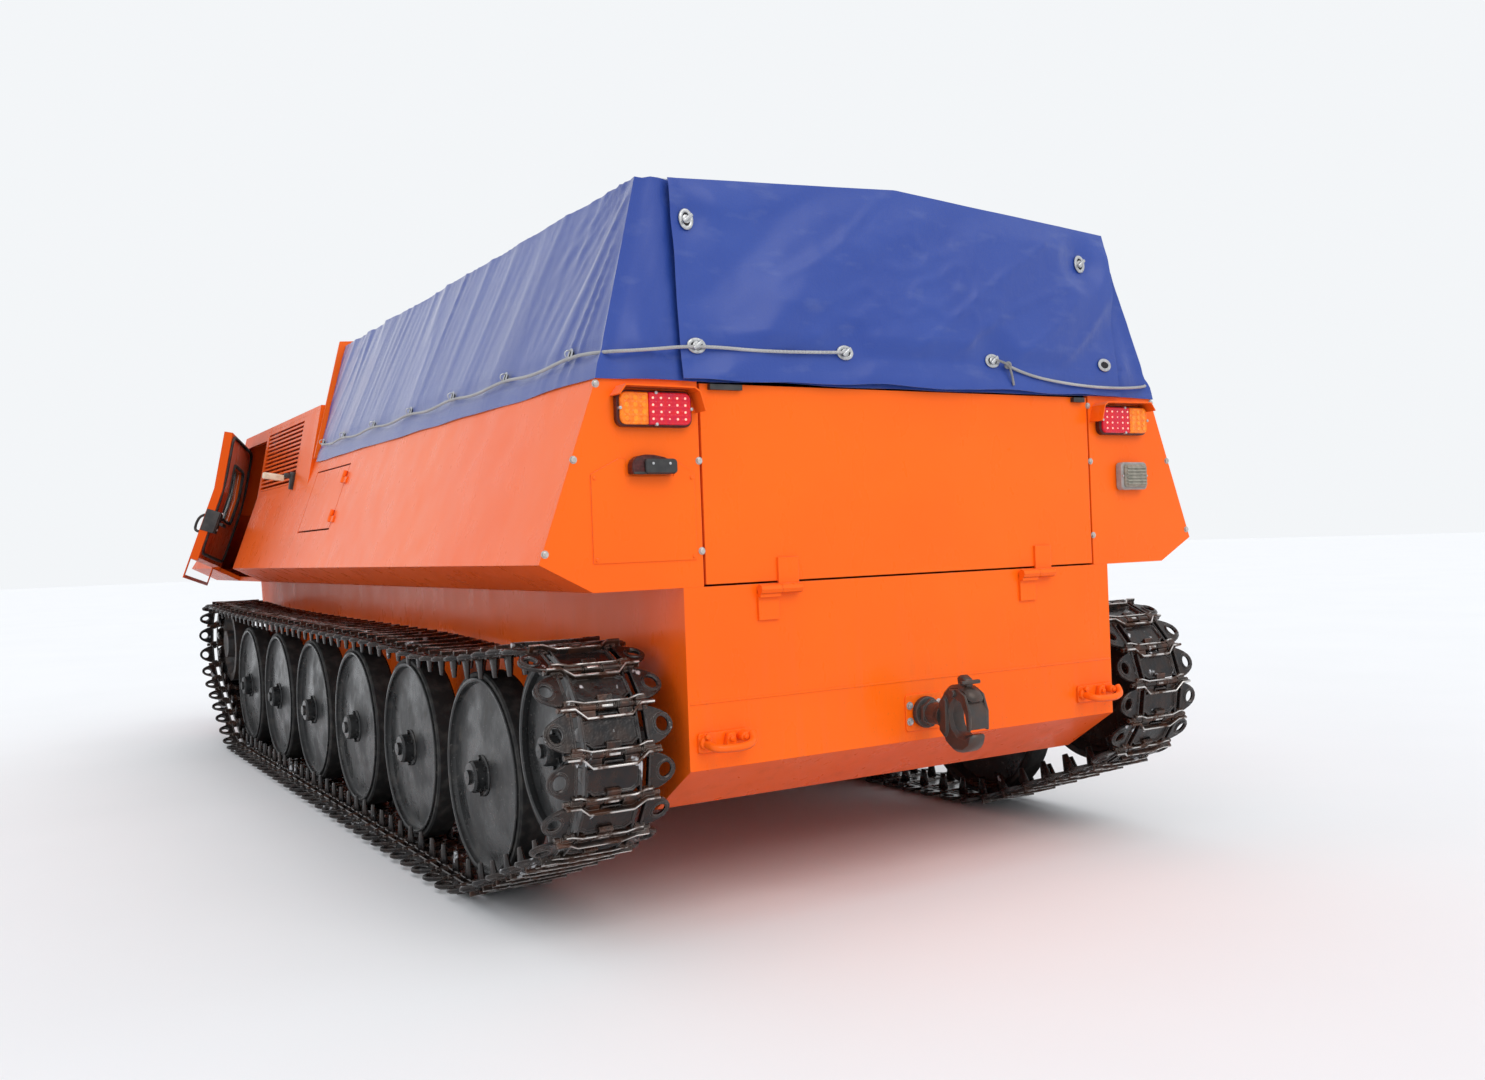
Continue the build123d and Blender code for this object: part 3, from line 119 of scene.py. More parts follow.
def skin(tree, sockets):
    """Sockets of the material's main shader."""
    plug(tree, tree.nodes["Principled BSDF"], sockets)


def bent(name, points, radius, steps, sides, closed=False):
    """Round cord or bar as a curve led by its points."""
    line = bpy.data.curves.new(name, "CURVE")
    line.dimensions = "3D"
    run = line.splines.new("NURBS")
    run.points.add(len(points) - 1)
    for point, spot in zip(run.points, points):
        point.co = (*spot, 1)
    run.order_u, run.resolution_u = 3, steps
    run.use_endpoint_u, run.use_cyclic_u = not closed, closed
    line.bevel_depth, line.bevel_resolution = radius, sides
    line.use_fill_caps = not closed
    return thing(name, line)


def select(*pieces):
    """Object mode with only these pieces selected and the first one active."""
    if bpy.context.object and bpy.context.object.mode != "OBJECT":
        bpy.ops.object.mode_set(mode="OBJECT")
    bpy.ops.object.select_all(action="DESELECT")
    for piece in pieces:
        piece.select_set(True)
    if pieces:
        bpy.context.view_layer.objects.active = pieces[0]


def smooth(piece, degrees):
    """Smooth shading across edges flatter than an angle."""
    select(piece)
    bpy.ops.object.shade_smooth_by_angle(angle=radians(degrees))


def applied(name):
    """The new active piece, with its place and turn in its mesh."""
    bpy.ops.object.transform_apply(location=True, rotation=True, scale=True)
    piece = bpy.context.object
    piece.name = name
    return piece


def shade(piece, look):
    """The piece shows this material alone."""
    piece.data.materials.clear()
    piece.data.materials.append(look)


def fitted(piece, look, replaces=None, body="hull", degrees=40, place=None):
    """The piece is put in place, smoothed, shaded and carried by its body; the CAD part it replaces is
    hidden.
    """
    if place is not None:
        piece.data.transform(place)
        if place.determinant() < 0:
            piece.data.flip_normals()
    if degrees:
        smooth(piece, degrees)
    shade(piece, look)
    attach(piece, body)
    if replaces:
        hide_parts(replaces)


DECK_H, HEM_H, TOP_H, RIDGE_H = 1.612, 1.598, 2.182, 2.243
HEM_Y, TOP_Y, HEM_X, TOP_X = 1.106, 0.930, -0.010, 0.056
EYELET_XS = (0.202, 0.718, 1.239, 1.740, 2.265, 2.766, 3.150)
EYELET_H = DECK_H + 0.065
ROPE_OFF, CORNER_OFF, FLAP_OFF, ROPE_R, ROPE_SAG = 0.007, 0.009, 0.021, 0.005, 0.022
ROPE_STEPS, ROPE_SIDES, YARN_TURNS = 6, 3, 160
# Places on the rear face: Y and height over the deck, and for the tail its lift off the flap.
LEFT_REAR = [(0.960, 0.060), (0.785, 0.082), (0.520, 0.072), (0.263, 0.085)]
RIGHT_REAR = [(0.960, 0.010), (0.760, 0.010), (0.560, 0.028), (0.450, 0.050), (0.392, 0.071)]
TAIL = [(-0.338, 0.088, 0.002), (-0.364, 0.082, 0.007), (-0.392, 0.071, 0.008), (-0.405, 0.044, 0.004),
        (-0.411, 0.004, 0.001)]
LEFT_CORNER, RIGHT_CORNER = 0.050, 0.028


def side_spot(x, h, off):
    """Place beside the cover's left side at a height."""
    return (x, HEM_Y - (HEM_Y - TOP_Y) * (h - HEM_H) / (TOP_H - HEM_H) + off, up(h))


def rear_spot(y, h, off):
    """Place behind the cover's rear at a height."""
    return (HEM_X + (TOP_X - HEM_X) * (h - HEM_H) / (TOP_H - HEM_H) - off, y, up(h))


def rope_route(rear, corner, s):
    """Points of one rope: eyelets and the sags between them, the corner, then the rear face."""
    spots = [side_spot(EYELET_XS[-1], EYELET_H, ROPE_OFF)]
    for x, before in zip(EYELET_XS[-2::-1], EYELET_XS[:0:-1]):
        spots.append(side_spot((x + before) / 2, EYELET_H - ROPE_SAG, ROPE_OFF))
        spots.append(side_spot(x, EYELET_H, ROPE_OFF))
    h = DECK_H + corner
    spots.append((rear_spot(0, h, CORNER_OFF)[0], side_spot(0, h, CORNER_OFF)[1], up(h)))
    spots += [rear_spot(y, DECK_H + over, FLAP_OFF) for y, over in rear]
    return [(x, s * y, z) for x, y, z in spots]


rope_yarn, tree = material("tie_rope_yarn")
uv = add(tree, "TexCoord", output="UV")
along, around = (add(tree, "SeparateXYZ", {0: uv}, axis) for axis in "XY")
winding = calc(tree, "MULTIPLY_ADD", along, YARN_TURNS, around)
strands = calc(tree, "SINE", calc(tree, "MULTIPLY", winding, 6 * pi))
skin(tree, {
    "Base Color": coats(tree, (0.30, 0.30, 0.31), ((0.62, 0.61, 0.60), grain(tree, 9, 4))),
    "Normal": add(tree, "Bump", {"Strength": 0.8, "Distance": 0.002, "Height": strands}, "Normal"),
    "Roughness": 0.7, "Sheen Weight": 0.3,
})
left_route = rope_route(LEFT_REAR, LEFT_CORNER, 1)
right_route = rope_route(RIGHT_REAR, RIGHT_CORNER, -1)
tail_route = [rear_spot(y, DECK_H + over, FLAP_OFF + off) for y, over, off in TAIL]
left_rope = bent("tie_rope_left", left_route, ROPE_R, ROPE_STEPS, ROPE_SIDES)
right_rope = bent("tie_rope_right", right_route, ROPE_R, ROPE_STEPS, ROPE_SIDES)
tail = bent("tie_rope_tail", tail_route, 0.8 * ROPE_R, ROPE_STEPS, ROPE_SIDES)
select()
bpy.ops.mesh.primitive_torus_add(major_radius=0.0085, minor_radius=0.0048, major_segments=20,
                                 minor_segments=10, rotation=(0.5, 1.2, 0.3),
                                 location=rear_spot(TAIL[2][0], DECK_H + TAIL[2][1], FLAP_OFF + 0.004))
knot = applied("tie_rope_knot")
bpy.ops.object.shade_smooth()
for piece, node in ((left_rope, "rope_left"), (right_rope, "rope_right"), (tail, "rope_right"),
                    (knot, "rope_right")):
    fitted(piece, rope_yarn, node, degrees=0)


# Floor, backdrop and light: a pale studio floor under an even, overcast sky, with one broad
# lamp behind the vehicle, as in the photograph.
select()
bpy.ops.mesh.primitive_plane_add(size=160, location=(0, 0, GROUND))
floor = bpy.context.object
floor.name = "studio_floor"
pale_floor, tree = material("pale_floor")
clouds = coats(tree, (0.82, 0.825, 0.83), ((0.87, 0.87, 0.875), grain(tree, 0.8, 5)))
skin(tree, {"Base Color": clouds, "Roughness": 0.9})
shade(floor, pale_floor)
world = bpy.data.worlds.new("overcast")
bpy.context.scene.world = world
world.use_nodes = True
tree = world.node_tree
sky = tree.nodes["Background"]
plug(tree, sky, {"Color": (0.84, 0.87, 0.91), "Strength": 1.08})
backdrop = add(tree, "Background", {"Color": (0.90, 0.92, 0.94)})
camera_ray, glossy_ray, clear_ray = (add(tree, "LightPath", output="Is %s Ray" % kind)
                                     for kind in ("Camera", "Glossy", "Transmission"))
seen = calc(tree, "MAXIMUM", calc(tree, "MAXIMUM", camera_ray, glossy_ray), clear_ray)
both = add(tree, "MixShader", {0: seen, 1: sky.outputs[0], 2: backdrop})
plug(tree, tree.nodes["World Output"], {"Surface": both})
lamp = bpy.data.lights.new("soft_lamp", "SUN")
lamp.energy, lamp.angle, lamp.color = 1.0, radians(40), (1.0, 0.97, 0.93)
soft_lamp = thing("soft_lamp", lamp)
soft_lamp.rotation_euler = Vector((-1.0, -0.15, 0.9)).to_track_quat("Z", "Y").to_euler()
bpy.context.scene.view_settings.view_transform = "Standard"


# Body shell: cut and welded steel sheet, brushed and rolled with one coat of gloss orange
# enamel, rippled between its frames, dusty and streaked towards the tracks. It reads chalky
# along the sides of the load bay. Its colour is painted darker towards the cab and on faces
# that look down, as painted shade.
def ramp(tree, value, low, high):
    """Share that goes from 0 at low to 1 at high."""
    return add(tree, "MapRange", {"Value": value, "From Min": low, "From Max": high}, "Result")


def mottling(tree, size, low=0.35, high=0.65, detail=4, stretch=(1, 1, 1)):
    """Noise about size metres across, as a share that is 0 below low and 1 above high."""
    sockets = {"Vector": add(tree, "TexCoord", output="Object"), "Scale": [1 / (size * s) for s in stretch]}
    return ramp(tree, grain(tree, 1, detail, add(tree, "Mapping", sockets)), low, high)


def times(tree, value, *factors):
    """Sockets and numbers multiplied."""
    for factor in factors:
        value = calc(tree, "MULTIPLY", value, factor)
    return value


def scaled(tree, value, factor, start):
    """A start that grows with a value."""
    return calc(tree, "MULTIPLY_ADD", value, factor, start)


def relief(tree, layers, rounding=0.0):
    """Normal with bumps, as pairs of height and depth in metres, over softened edges."""
    normal = add(tree, "Bevel", {"Radius": rounding}, samples=4) if rounding else None
    for height, depth in layers:
        sockets = {"Strength": 1, "Distance": depth, "Height": height}
        normal = add(tree, "Bump", {**sockets, "Normal": normal} if normal else sockets, "Normal")
    return normal


body_enamel, tree = material("body_enamel")
place, face = add(tree, "TexCoord", output="Object"), add(tree, "NewGeometry", output="Normal")
x, z = (add(tree, "SeparateXYZ", {0: place}, axis) for axis in "XZ")
tilt = add(tree, "SeparateXYZ", {0: face}, "Z")
low_down = ramp(tree, z, 0.45, -0.25)
streaks = times(tree, mottling(tree, 0.05, 0.52, 0.8, 4, (1, 1, 9)), low_down, 0.275)
spatter = times(tree, mottling(tree, 0.012, 0.62, 0.72, 5), low_down, 0.30)
load_bay = ramp(tree, x, 4.4, 2.4)
clear_of_tracks = calc(tree, "MAXIMUM", ramp(tree, z, 0.40, 0.46), ramp(tree, x, 0.2, 1.8))
chalk = times(tree, ramp(tree, x, 3.9, 1.6), ramp(tree, tilt, -0.75, -0.25), clear_of_tracks)
skin(tree, {
    "Base Color": coats(
        tree, (0.98, 0.142, 0.005),
        ((0.94, 0.112, 0.004), times(tree, mottling(tree, 0.55, detail=3, stretch=(1.6, 1.6, 1)), 0.55)),
        # Painted shade: the orange is painted darker towards the cab.
        ((0.50, 0.060, 0.012), times(tree, ramp(tree, x, 2.6, 4.4), 0.55)),
        ((0.30, 0.12, 0.055), streaks),
        ((0.16, 0.085, 0.05), spatter),
        # Painted shade: faces that look down are painted a deeper red.
        ((0.52, 0.038, 0.004), times(tree, ramp(tree, tilt, -0.25, -0.75), 0.45))),
    "Roughness": scaled(tree, mottling(tree, 0.09, 0.3, 0.8, 5, (1, 1, 2)), 0.16,
                        scaled(tree, streaks, 0.5, 0.24)),
    "Specular IOR Level": scaled(tree, load_bay, 0.11, 0.03),
    "Coat Weight": scaled(tree, load_bay, 0.08, 0.02), "Coat Roughness": 0.14,
    "Sheen Weight": scaled(tree, chalk, 0.32, 0.03), "Sheen Roughness": 0.30,
    "Normal": relief(tree, [(mottling(tree, 0.33, 0, 1, 2, (1.4, 1.4, 1)), 0.012),
                            (mottling(tree, 0.006, 0, 1, 2), 0.00035)], 0.003),
})
for node in (
    "bay_roof", "cab_shell", "door_hinges", "door_left", "door_right", "engine_cover", "gate_hinges",
    "hatch_hinges", "hull_tub", "lamp_visors", "lid_hinges", "louvre_left", "louvre_right", "nose_hatch",
    "partition", "plate_sheet", "rear_corner_left", "rear_corner_right", "roof_hatch", "side_hatch_left",
    "side_hatch_right", "side_wall_left", "side_wall_right", "tailgate", "cab_back", "cab_floor",
    "load_floor", "tow_hooks_rear", "tow_hooks_front",
):
    shade(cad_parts[node], body_enamel)


# Cover: blue coated polyester cloth over the bay, leaning sides and a low ridge on bows, one
# piece with a rear flap whose edges lie over the wrapped corners.
FRONT_LOW, FRONT_TOP, CLOTH_T = 3.205, 3.274, 0.0016
BOW_X, BOW_STEP = 0.06, 0.8
SIDE_CELLS, ROOF_CELLS, ROWS = 200, 36, 34
SEAM_TOP, SEAM_LOW, FLAP_END = 0.830, 0.838, -0.93
FLAP_CELLS, FLAP_ROWS, FLAP_PROUD, FLAP_DROP = 120, 46, 0.0075, 0.004
ROPE_SHARE, HEM_BAND, TURNED_EDGE = 0.135, 0.03, 0.0025
# The rear rings as Y and height.
WIDE_RINGS = ((0.785, 1.694), (0.263, 1.697), (-0.337, 1.697))
BARE_RING = (-0.862, 1.704)
TALL_RINGS = ((0.782, 2.065), (-0.797, 2.062))
lo, hi, ridge = up(HEM_H), up(TOP_H), up(RIDGE_H)


def cloth_panel(corners, across, along):
    """Grid laid between four corners, given in turn round the panel."""
    select()
    bpy.ops.mesh.primitive_grid_add(x_subdivisions=across, y_subdivisions=along, size=2)
    panel = bpy.context.object
    a, b, c, d = (Vector(p) for p in corners)
    for v in panel.data.vertices:
        u, w = (v.co.x + 1) / 2, (v.co.y + 1) / 2
        v.co = a * (1 - u) * (1 - w) + b * u * (1 - w) + c * u * w + d * (1 - u) * w
    return panel


def edit(piece):
    """Edit mode on this piece, with all of it selected."""
    select(piece)
    bpy.ops.object.mode_set(mode="EDIT")
    bpy.ops.mesh.select_all(action="SELECT")


def outward(piece, weld=0.0):
    """Faces turned outward, after points closer than the weld are merged."""
    edit(piece)
    if weld:
        bpy.ops.mesh.remove_doubles(threshold=weld)
    bpy.ops.mesh.normals_make_consistent(inside=False)
    bpy.ops.object.mode_set(mode="OBJECT")


def join(pieces, name, weld=0.0):
    """Pieces made one mesh, its doubled points merged where a weld is given."""
    select(*pieces)
    if len(pieces) > 1:
        bpy.ops.object.join()
    piece = bpy.context.object
    piece.name = piece.data.name = name
    if weld:
        outward(piece, weld)
    return piece


def wave(*spot):
    """Smooth noise at a place, about -1 to 1."""
    return noise.noise(Vector(spot))


def fold(value, sharp=2.0):
    """Ridge of 0 to 1 along the places where a noise passes through 0."""
    return max(0.0, 1 - sharp * abs(value) * 2) ** 1.5


def clamp(value):
    return min(1, max(0, value))


def side_y(share):
    """Half width of the flat cover at a share of its height."""
    return HEM_Y - (HEM_Y - TOP_Y) * share


def seam_y(share):
    """Y of the flap's left edge at a share of the height."""
    return SEAM_LOW + (SEAM_TOP - SEAM_LOW) * share


def side_folds(x, share):
    """Long folds that run down and forward from the eaves, closer at the rear corner."""
    across = x - 0.34 * (1 - share)
    stretch = 0.5 + 0.5 * wave(x * 0.9, share * 1.3, 8.0)
    fade = min(1, share * 3.0) * (0.45 + 0.55 * share)
    out = 0.0070 * wave(across * 3.6, share * 0.5, 0.7)
    out += 0.0075 * stretch * fade * fold(wave(across * 6.5, share * 0.55, 5.2), 2.2)
    out += 0.0036 * stretch * fade * fold(wave(across * 15.0, share * 0.8, 1.9), 2.2)
    fan = atan2(x + 0.03, (1 - share) * 0.60 + 0.10)
    near = max(0, 1 - x / 0.62) ** 1.2
    corner = min(1, max(0, x - 0.01) / 0.10)
    out += 0.0075 * near * corner * fold(wave(fan * 6.5, share * 0.35, 4.4), 1.8)
    out += 0.0030 * near * corner * fold(wave(fan * 15, share * 0.5, 2.2), 2.0)
    return out * (0.25 + 0.75 * corner)


def rear_folds(y, z):
    """Broad soft folds that rise to the right, with small crumples in the middle."""
    across, along = 0.545 * y + 0.839 * z, 0.545 * z - 0.839 * y
    bend = 0.10 * wave(along * 1.6, across * 1.2, 2.0)
    out = 0.010 + 0.030 * wave((across + bend) * 4.2, along * 0.6, 1.3)
    out += 0.015 * wave((across + bend) * 8.5, along * 1.3, 4.4)
    out += 0.006 * fold(wave((across - bend) * 6.5, along * 1.1, 6.6), 2.0)
    middle = max(0, 1 - hypot(y + 0.05, (z - lo - 0.32) * 1.3) / 0.50)
    out += 0.0065 * middle * fold(wave(along * 8, across * 13, 3.3), 2.0)
    return out + 0.0012 * wave(y * 18, z * 18, 7.7)


def roof_sag(x, y):
    """The roof hangs a little between its bows."""
    bay = abs(sin(pi * (x - BOW_X) / BOW_STEP))
    out = -0.014 * bay * (0.4 + 0.6 * min(1, (TOP_Y - abs(y)) / 0.25))
    return out + 0.004 * wave(x * 2.2, y * 5, 3.1)


def side_drape(x, z, share):
    """Folds of a side, drawn in along the rope and puffed out in the hem between eyelets."""
    pinch = max(0, 1 - abs(z - up(EYELET_H)) / 0.035)
    bulge = sin(pi * clamp((z - lo) / 0.062))
    swell = abs(sin(pi * (x - EYELET_XS[0]) / 0.51))
    out = side_folds(x, share) - 0.006 - 0.004 * pinch * (0.5 + 0.5 * swell)
    return out + 0.006 * bulge * (0.4 + 0.6 * swell)


def corner_drape(y, share):
    """Tucks in the strips beside the flap; under the flap the cloth lies back flat."""
    if FLAP_END < y < seam_y(share) - 0.01:
        return -0.012
    gap = abs(y) - seam_y(share)
    tuck = fold(wave((gap - 0.10 * share) * 7, share * 0.9, 6.1), 1.8)
    ripple = wave(gap * 17, share * 1.6, 3.7)
    calm = min(1, max(0, abs(side_y(share)) - abs(y)) / 0.08)
    return (0.014 * tuck + 0.008 * ripple) * min(1, max(0, gap) / 0.04) * calm - 0.009


def wrinkle(x, y, z):
    """How far the cloth stands from its flat panel here, outward above 0."""
    share = (z - lo) / (hi - lo)
    if z > hi + 0.0005 and x > TOP_X + 0.01:
        return roof_sag(x, y)
    if abs(y) > abs(side_y(share)) - 0.004:
        return side_drape(x, z, share)
    return corner_drape(y, share) if x < 0.5 else 0.0


side_left = [(FRONT_LOW, HEM_Y, lo), (HEM_X, HEM_Y, lo), (TOP_X, TOP_Y, hi), (FRONT_TOP, TOP_Y, hi)]
side_right = [(HEM_X, -HEM_Y, lo), (FRONT_LOW, -HEM_Y, lo), (FRONT_TOP, -TOP_Y, hi), (TOP_X, -TOP_Y, hi)]
roof_left = [(TOP_X, TOP_Y, hi), (TOP_X, 0, ridge), (FRONT_TOP, 0, ridge), (FRONT_TOP, TOP_Y, hi)]
roof_right = [(TOP_X, 0, ridge), (TOP_X, -TOP_Y, hi), (FRONT_TOP, -TOP_Y, hi), (FRONT_TOP, 0, ridge)]
panels = [cloth_panel(side_left, SIDE_CELLS, ROWS), cloth_panel(side_right, SIDE_CELLS, ROWS),
          cloth_panel(roof_left, ROOF_CELLS, SIDE_CELLS), cloth_panel(roof_right, ROOF_CELLS, SIDE_CELLS)]
for x_low, x_top in ((HEM_X, TOP_X), (FRONT_LOW, FRONT_TOP)):
    for s in (1, -1):
        half = [(x_low, s * HEM_Y, lo), (x_low, 0, lo), (x_top, 0, ridge), (x_top, s * TOP_Y, hi)]
        panels.append(cloth_panel(half, ROOF_CELLS, ROWS))
cover_cloth = join(panels, "cover_cloth", 0.004)
normals = [v.normal.copy() for v in cover_cloth.data.vertices]
for v, n in zip(cover_cloth.data.vertices, normals):
    x, y, z = v.co
    v.co += n * wrinkle(x, y, z) * min(1, 0.25 + clamp((z - lo) / (hi - lo)) * 6)
    if z < lo + HEM_BAND:
        v.co.z += (0.009 * wave(x * 3, y * 3, 0) - 0.005) * (1 - (z - lo) / HEM_BAND)
flap_low = lo - FLAP_DROP
flap = cloth_panel([(HEM_X, SEAM_LOW, flap_low), (HEM_X, FLAP_END, flap_low), (TOP_X, FLAP_END, hi),
                    (TOP_X, SEAM_TOP, hi)], FLAP_CELLS, FLAP_ROWS)
for v in flap.data.vertices:
    y, z = v.co.y, v.co.z
    share = (z - lo) / (hi - lo)
    eaves = hi + (ridge - hi) * max(0, 1 - abs(y) / TOP_Y) - FLAP_DROP
    tall = lo + (eaves - lo) * max(share, 0)
    edge = min(1, (SEAM_TOP + 0.02 - y) / 0.06)
    by_rope = 1 - 0.78 * max(0, 1 - abs(share - ROPE_SHARE) / 0.10)
    ring_gap = min(hypot(y - a, tall - up(h)) for a, h in (*WIDE_RINGS, BARE_RING, *TALL_RINGS))
    by_ring = min(1, max(0.05, (ring_gap - 0.035) / 0.08))
    low_ease, top_ease = min(1, 0.30 + max(share, 0) * 4), min(1, 0.15 + (1 - share) * 6)
    lift = rear_folds(y, tall) * by_rope * by_ring * low_ease * top_ease * (0.5 + 0.5 * edge)
    edge_out = TURNED_EDGE if y > seam_y(share) - 0.018 or share < 0.045 else 0
    v.co.z = tall + 0.011 * wave(y * 4.0, 5.0, 0) * max(0, 1 - share / 0.06)
    v.co.x = HEM_X + (TOP_X - HEM_X) * share - FLAP_PROUD - max(-0.004, lift) - edge_out
cover_cloth = join([cover_cloth, flap], "cover_cloth")
select(cover_cloth)
thick = cover_cloth.modifiers.new("weight", "SOLIDIFY")
thick.thickness, thick.offset = CLOTH_T, -1
bpy.ops.object.modifier_apply(modifier="weight")


def bands(tree, axes, scale):
    """Even waves along each axis, added up."""
    total = None
    for axis in axes:
        sockets = {"Scale": scale, "Vector": add(tree, "TexCoord", output="Object")}
        rows = add(tree, "TexWave", sockets, "Fac", wave_type="BANDS", bands_direction=axis)
        total = calc(tree, "ADD", total, rows) if total else rows
    return total


blue_cloth, tree = material("blue_cover_cloth")
fade = mottling(tree, 0.35, stretch=(1, 1, 1.5))
rubbed = mottling(tree, 0.05, 0.58, 0.85, 6, (3, 3, 1))
creases = mottling(tree, 0.03, 0.3, 0.7, 5, (1, 1, 2.5))
skin(tree, {
    "Base Color": coats(tree, (0.019, 0.056, 0.300), ((0.030, 0.076, 0.345), times(tree, fade, 0.5)),
                        ((0.20, 0.24, 0.42), times(tree, rubbed, 0.25))),
    "Roughness": scaled(tree, fade, 0.12, 0.36), "Specular IOR Level": 0.12,
    "Coat Weight": 0.58, "Coat Roughness": 0.32, "Coat IOR": 1.46,
    "Sheen Weight": 1.0, "Sheen Roughness": 0.27,
    "Normal": relief(tree, [(bands(tree, "XYZ", 180), 0.00015), (creases, 0.0008)]),
})
fitted(cover_cloth, blue_cloth, "tarp", degrees=50)


# Tracks: forged and cast open-link shoes, an eye loop at each end, a raised middle panel
# between two openings, a wavy grouser over each pin, and two rows of guide horns inside.
TRACK_Y, SHOE_PITCH, PLATE_IN, LUG_H, FIT = 1.090, 0.1305, 0.012, 0.023, 0.0006
WHEEL_XS = [0.930 + 0.800 * i for i in range(6)]
WHEEL_R, WHEEL_W = 0.347, 0.106
RUN = WHEEL_R + PLATE_IN + FIT
WHEEL_H = RUN + LUG_H
# Circles of the track's middle line as X, height and radius, and points of its sagging top.
IDLER, SPROCKET = (0.295, 0.545, 0.300), (5.560, 0.600, 0.252)
LOOP = [IDLER, (WHEEL_XS[0], WHEEL_H, RUN), (WHEEL_XS[-1], WHEEL_H, RUN), SPROCKET]
SAG = [(4.700, 0.822), (3.300, 0.806), (1.900, 0.796), (1.050, 0.776)]


def tangent(c1, r1, c2, r2):
    """Ends of the line touching two circles on its right-hand side, both run anticlockwise."""
    dx, dz = c2[0] - c1[0], c2[1] - c1[1]
    base, dist = atan2(dz, dx), hypot(dx, dz)
    turn = base - pi / 2 + (0 if r1 == r2 else -atan2(r2 - r1, sqrt(dist * dist - (r2 - r1) ** 2)))
    n = (cos(turn), sin(turn))
    return (c1[0] + r1 * n[0], c1[1] + r1 * n[1]), (c2[0] + r2 * n[0], c2[1] + r2 * n[1])


def arc(circle, enter, leave, steps=0):
    """Points round a circle between two points on it, anticlockwise, 20 mm apart if not told."""
    x, h, r = circle
    start, stop = (atan2(b - h, a - x) for a, b in (enter, leave))
    while stop < start - 1e-9:
        stop += 2 * pi
    steps = steps or max(1, int((stop - start) * r / 0.02))
    turns = [start + (stop - start) * k / steps for k in range(steps + 1)]
    return [(x + r * cos(t), h + r * sin(t)) for t in turns]


def track_line():
    """Middle line of the track as close points, from the first wheel round and back."""
    ends = [tangent(a[:2], a[2], b[:2], b[2]) for a, b in zip(LOOP, LOOP[1:])]
    x, h, r = SPROCKET
    off_top = (x + r * cos(pi / 2 + 0.02), h + r * sin(pi / 2 + 0.02))
    points = []
    for circle, enter, leave in zip(LOOP[1:], [end[1] for end in ends], (ends[1][0], ends[2][0], off_top)):
        points += arc(circle, enter, leave)
    x, h, r = IDLER
    top = [points[-1]] + SAG + [(x + 0.06, h + sqrt(r * r - 0.06 ** 2))]
    for k in range(len(top) - 1):
        p0, p1, p2, p3 = top[max(k - 1, 0)], top[k], top[k + 1], top[min(k + 2, len(top) - 1)]
        for j in range(1, 31):
            t = j / 30
            points.append(tuple(
                0.5 * (2 * b + (c - a) * t + (2 * a - 5 * b + 4 * c - d) * t * t
                       + (3 * b - a - 3 * c + d) * t ** 3)
                for a, b, c, d in zip(p0, p1, p2, p3)))
    return np.array(points + arc(IDLER, points[-1], ends[0][0], 60)[1:])


def built(name, verts, edges=(), faces=()):
    """New piece from its points, edges and faces."""
    mesh = bpy.data.meshes.new(name)
    mesh.from_pydata(verts, edges, faces)
    piece = thing(name, mesh)
    select(piece)
    return piece


def edged(piece, width, segments=1, degrees=0):
    """The piece with its sharp edges bevelled, those above an angle if it is given."""
    select(piece)
    rounding = piece.modifiers.new("edges", "BEVEL")
    rounding.width, rounding.segments, rounding.limit_method = width, segments, "ANGLE"
    if degrees:
        rounding.angle_limit = radians(degrees)
    bpy.ops.object.modifier_apply(modifier="edges")
    return piece


def slab(name, low, high, bevel, segments=2):
    """Block between two corners, its edges rounded."""
    select()
    centre = [(a + b) / 2 for a, b in zip(low, high)]
    bpy.ops.mesh.primitive_cube_add(size=1, location=centre, scale=[b - a for a, b in zip(low, high)])
    return edged(applied(name), bevel, segments)


def bar(name, outline, z0, z1, bevel=0.0):
    """Flat outline in X and Y made a bar from z0 to z1, in edit mode."""
    piece = built(name, [(x, y, z0) for x, y in outline], faces=[tuple(range(len(outline)))])
    edit(piece)
    bpy.ops.mesh.extrude_region_move(TRANSFORM_OT_translate={"value": (0, 0, z1 - z0)})
    outward(piece)
    return edged(piece, bevel) if bevel else piece


def rod(name, sides, radius, length, middle):
    """Round bar that lies across the vehicle."""
    select()
    bpy.ops.mesh.primitive_cylinder_add(vertices=sides, radius=radius, depth=length, location=middle,
                                        rotation=(pi / 2, 0, 0))
    return applied(name)


def eye_plate(name, y, outline, hole_x, hole_y, z0, z1):
    """Flat ear with an oval eye: each corner of the outline faces one point of the eye."""
    verts, faces, n = [], [], len(outline)
    middle = Vector((SHOE_PITCH / 2, y))
    for px, py in outline:
        t = atan2((py - middle.y) / hole_y, (px - middle.x) / hole_x)
        for z in (z0, z1):
            verts += [(px, py, z), (middle.x + hole_x * cos(t), middle.y + hole_y * sin(t), z)]
    for k in range(n):
        a, b = 4 * k, 4 * ((k + 1) % n)
        faces += [(a, b, b + 1, a + 1), (a + 2, a + 3, b + 3, b + 2), (a, a + 2, b + 2, b),
                  (a + 1, b + 1, b + 3, a + 3)]
    piece = built(name, verts, faces=faces)
    outward(piece)
    return edged(piece, 0.0025)


def strip(path, reach):
    """Outline of a strip that follows a path, from half its width."""
    return [(x - reach, y) for x, y in path] + [(x + reach, y) for x, y in path[::-1]]


def laid(source, name, places):
    """One mesh of many copies of a piece, one at each 4 by 4 place."""
    spots = np.array([(*v.co, 1) for v in source.data.vertices])
    faces = [tuple(f.vertices) for f in source.data.polygons]
    verts = np.vstack([spots @ np.array(m).T for m in places])[:, :3]
    many = [tuple(i + k * len(spots) for i in f) for k in range(len(places)) for f in faces]
    return built(name, verts.tolist(), faces=many)


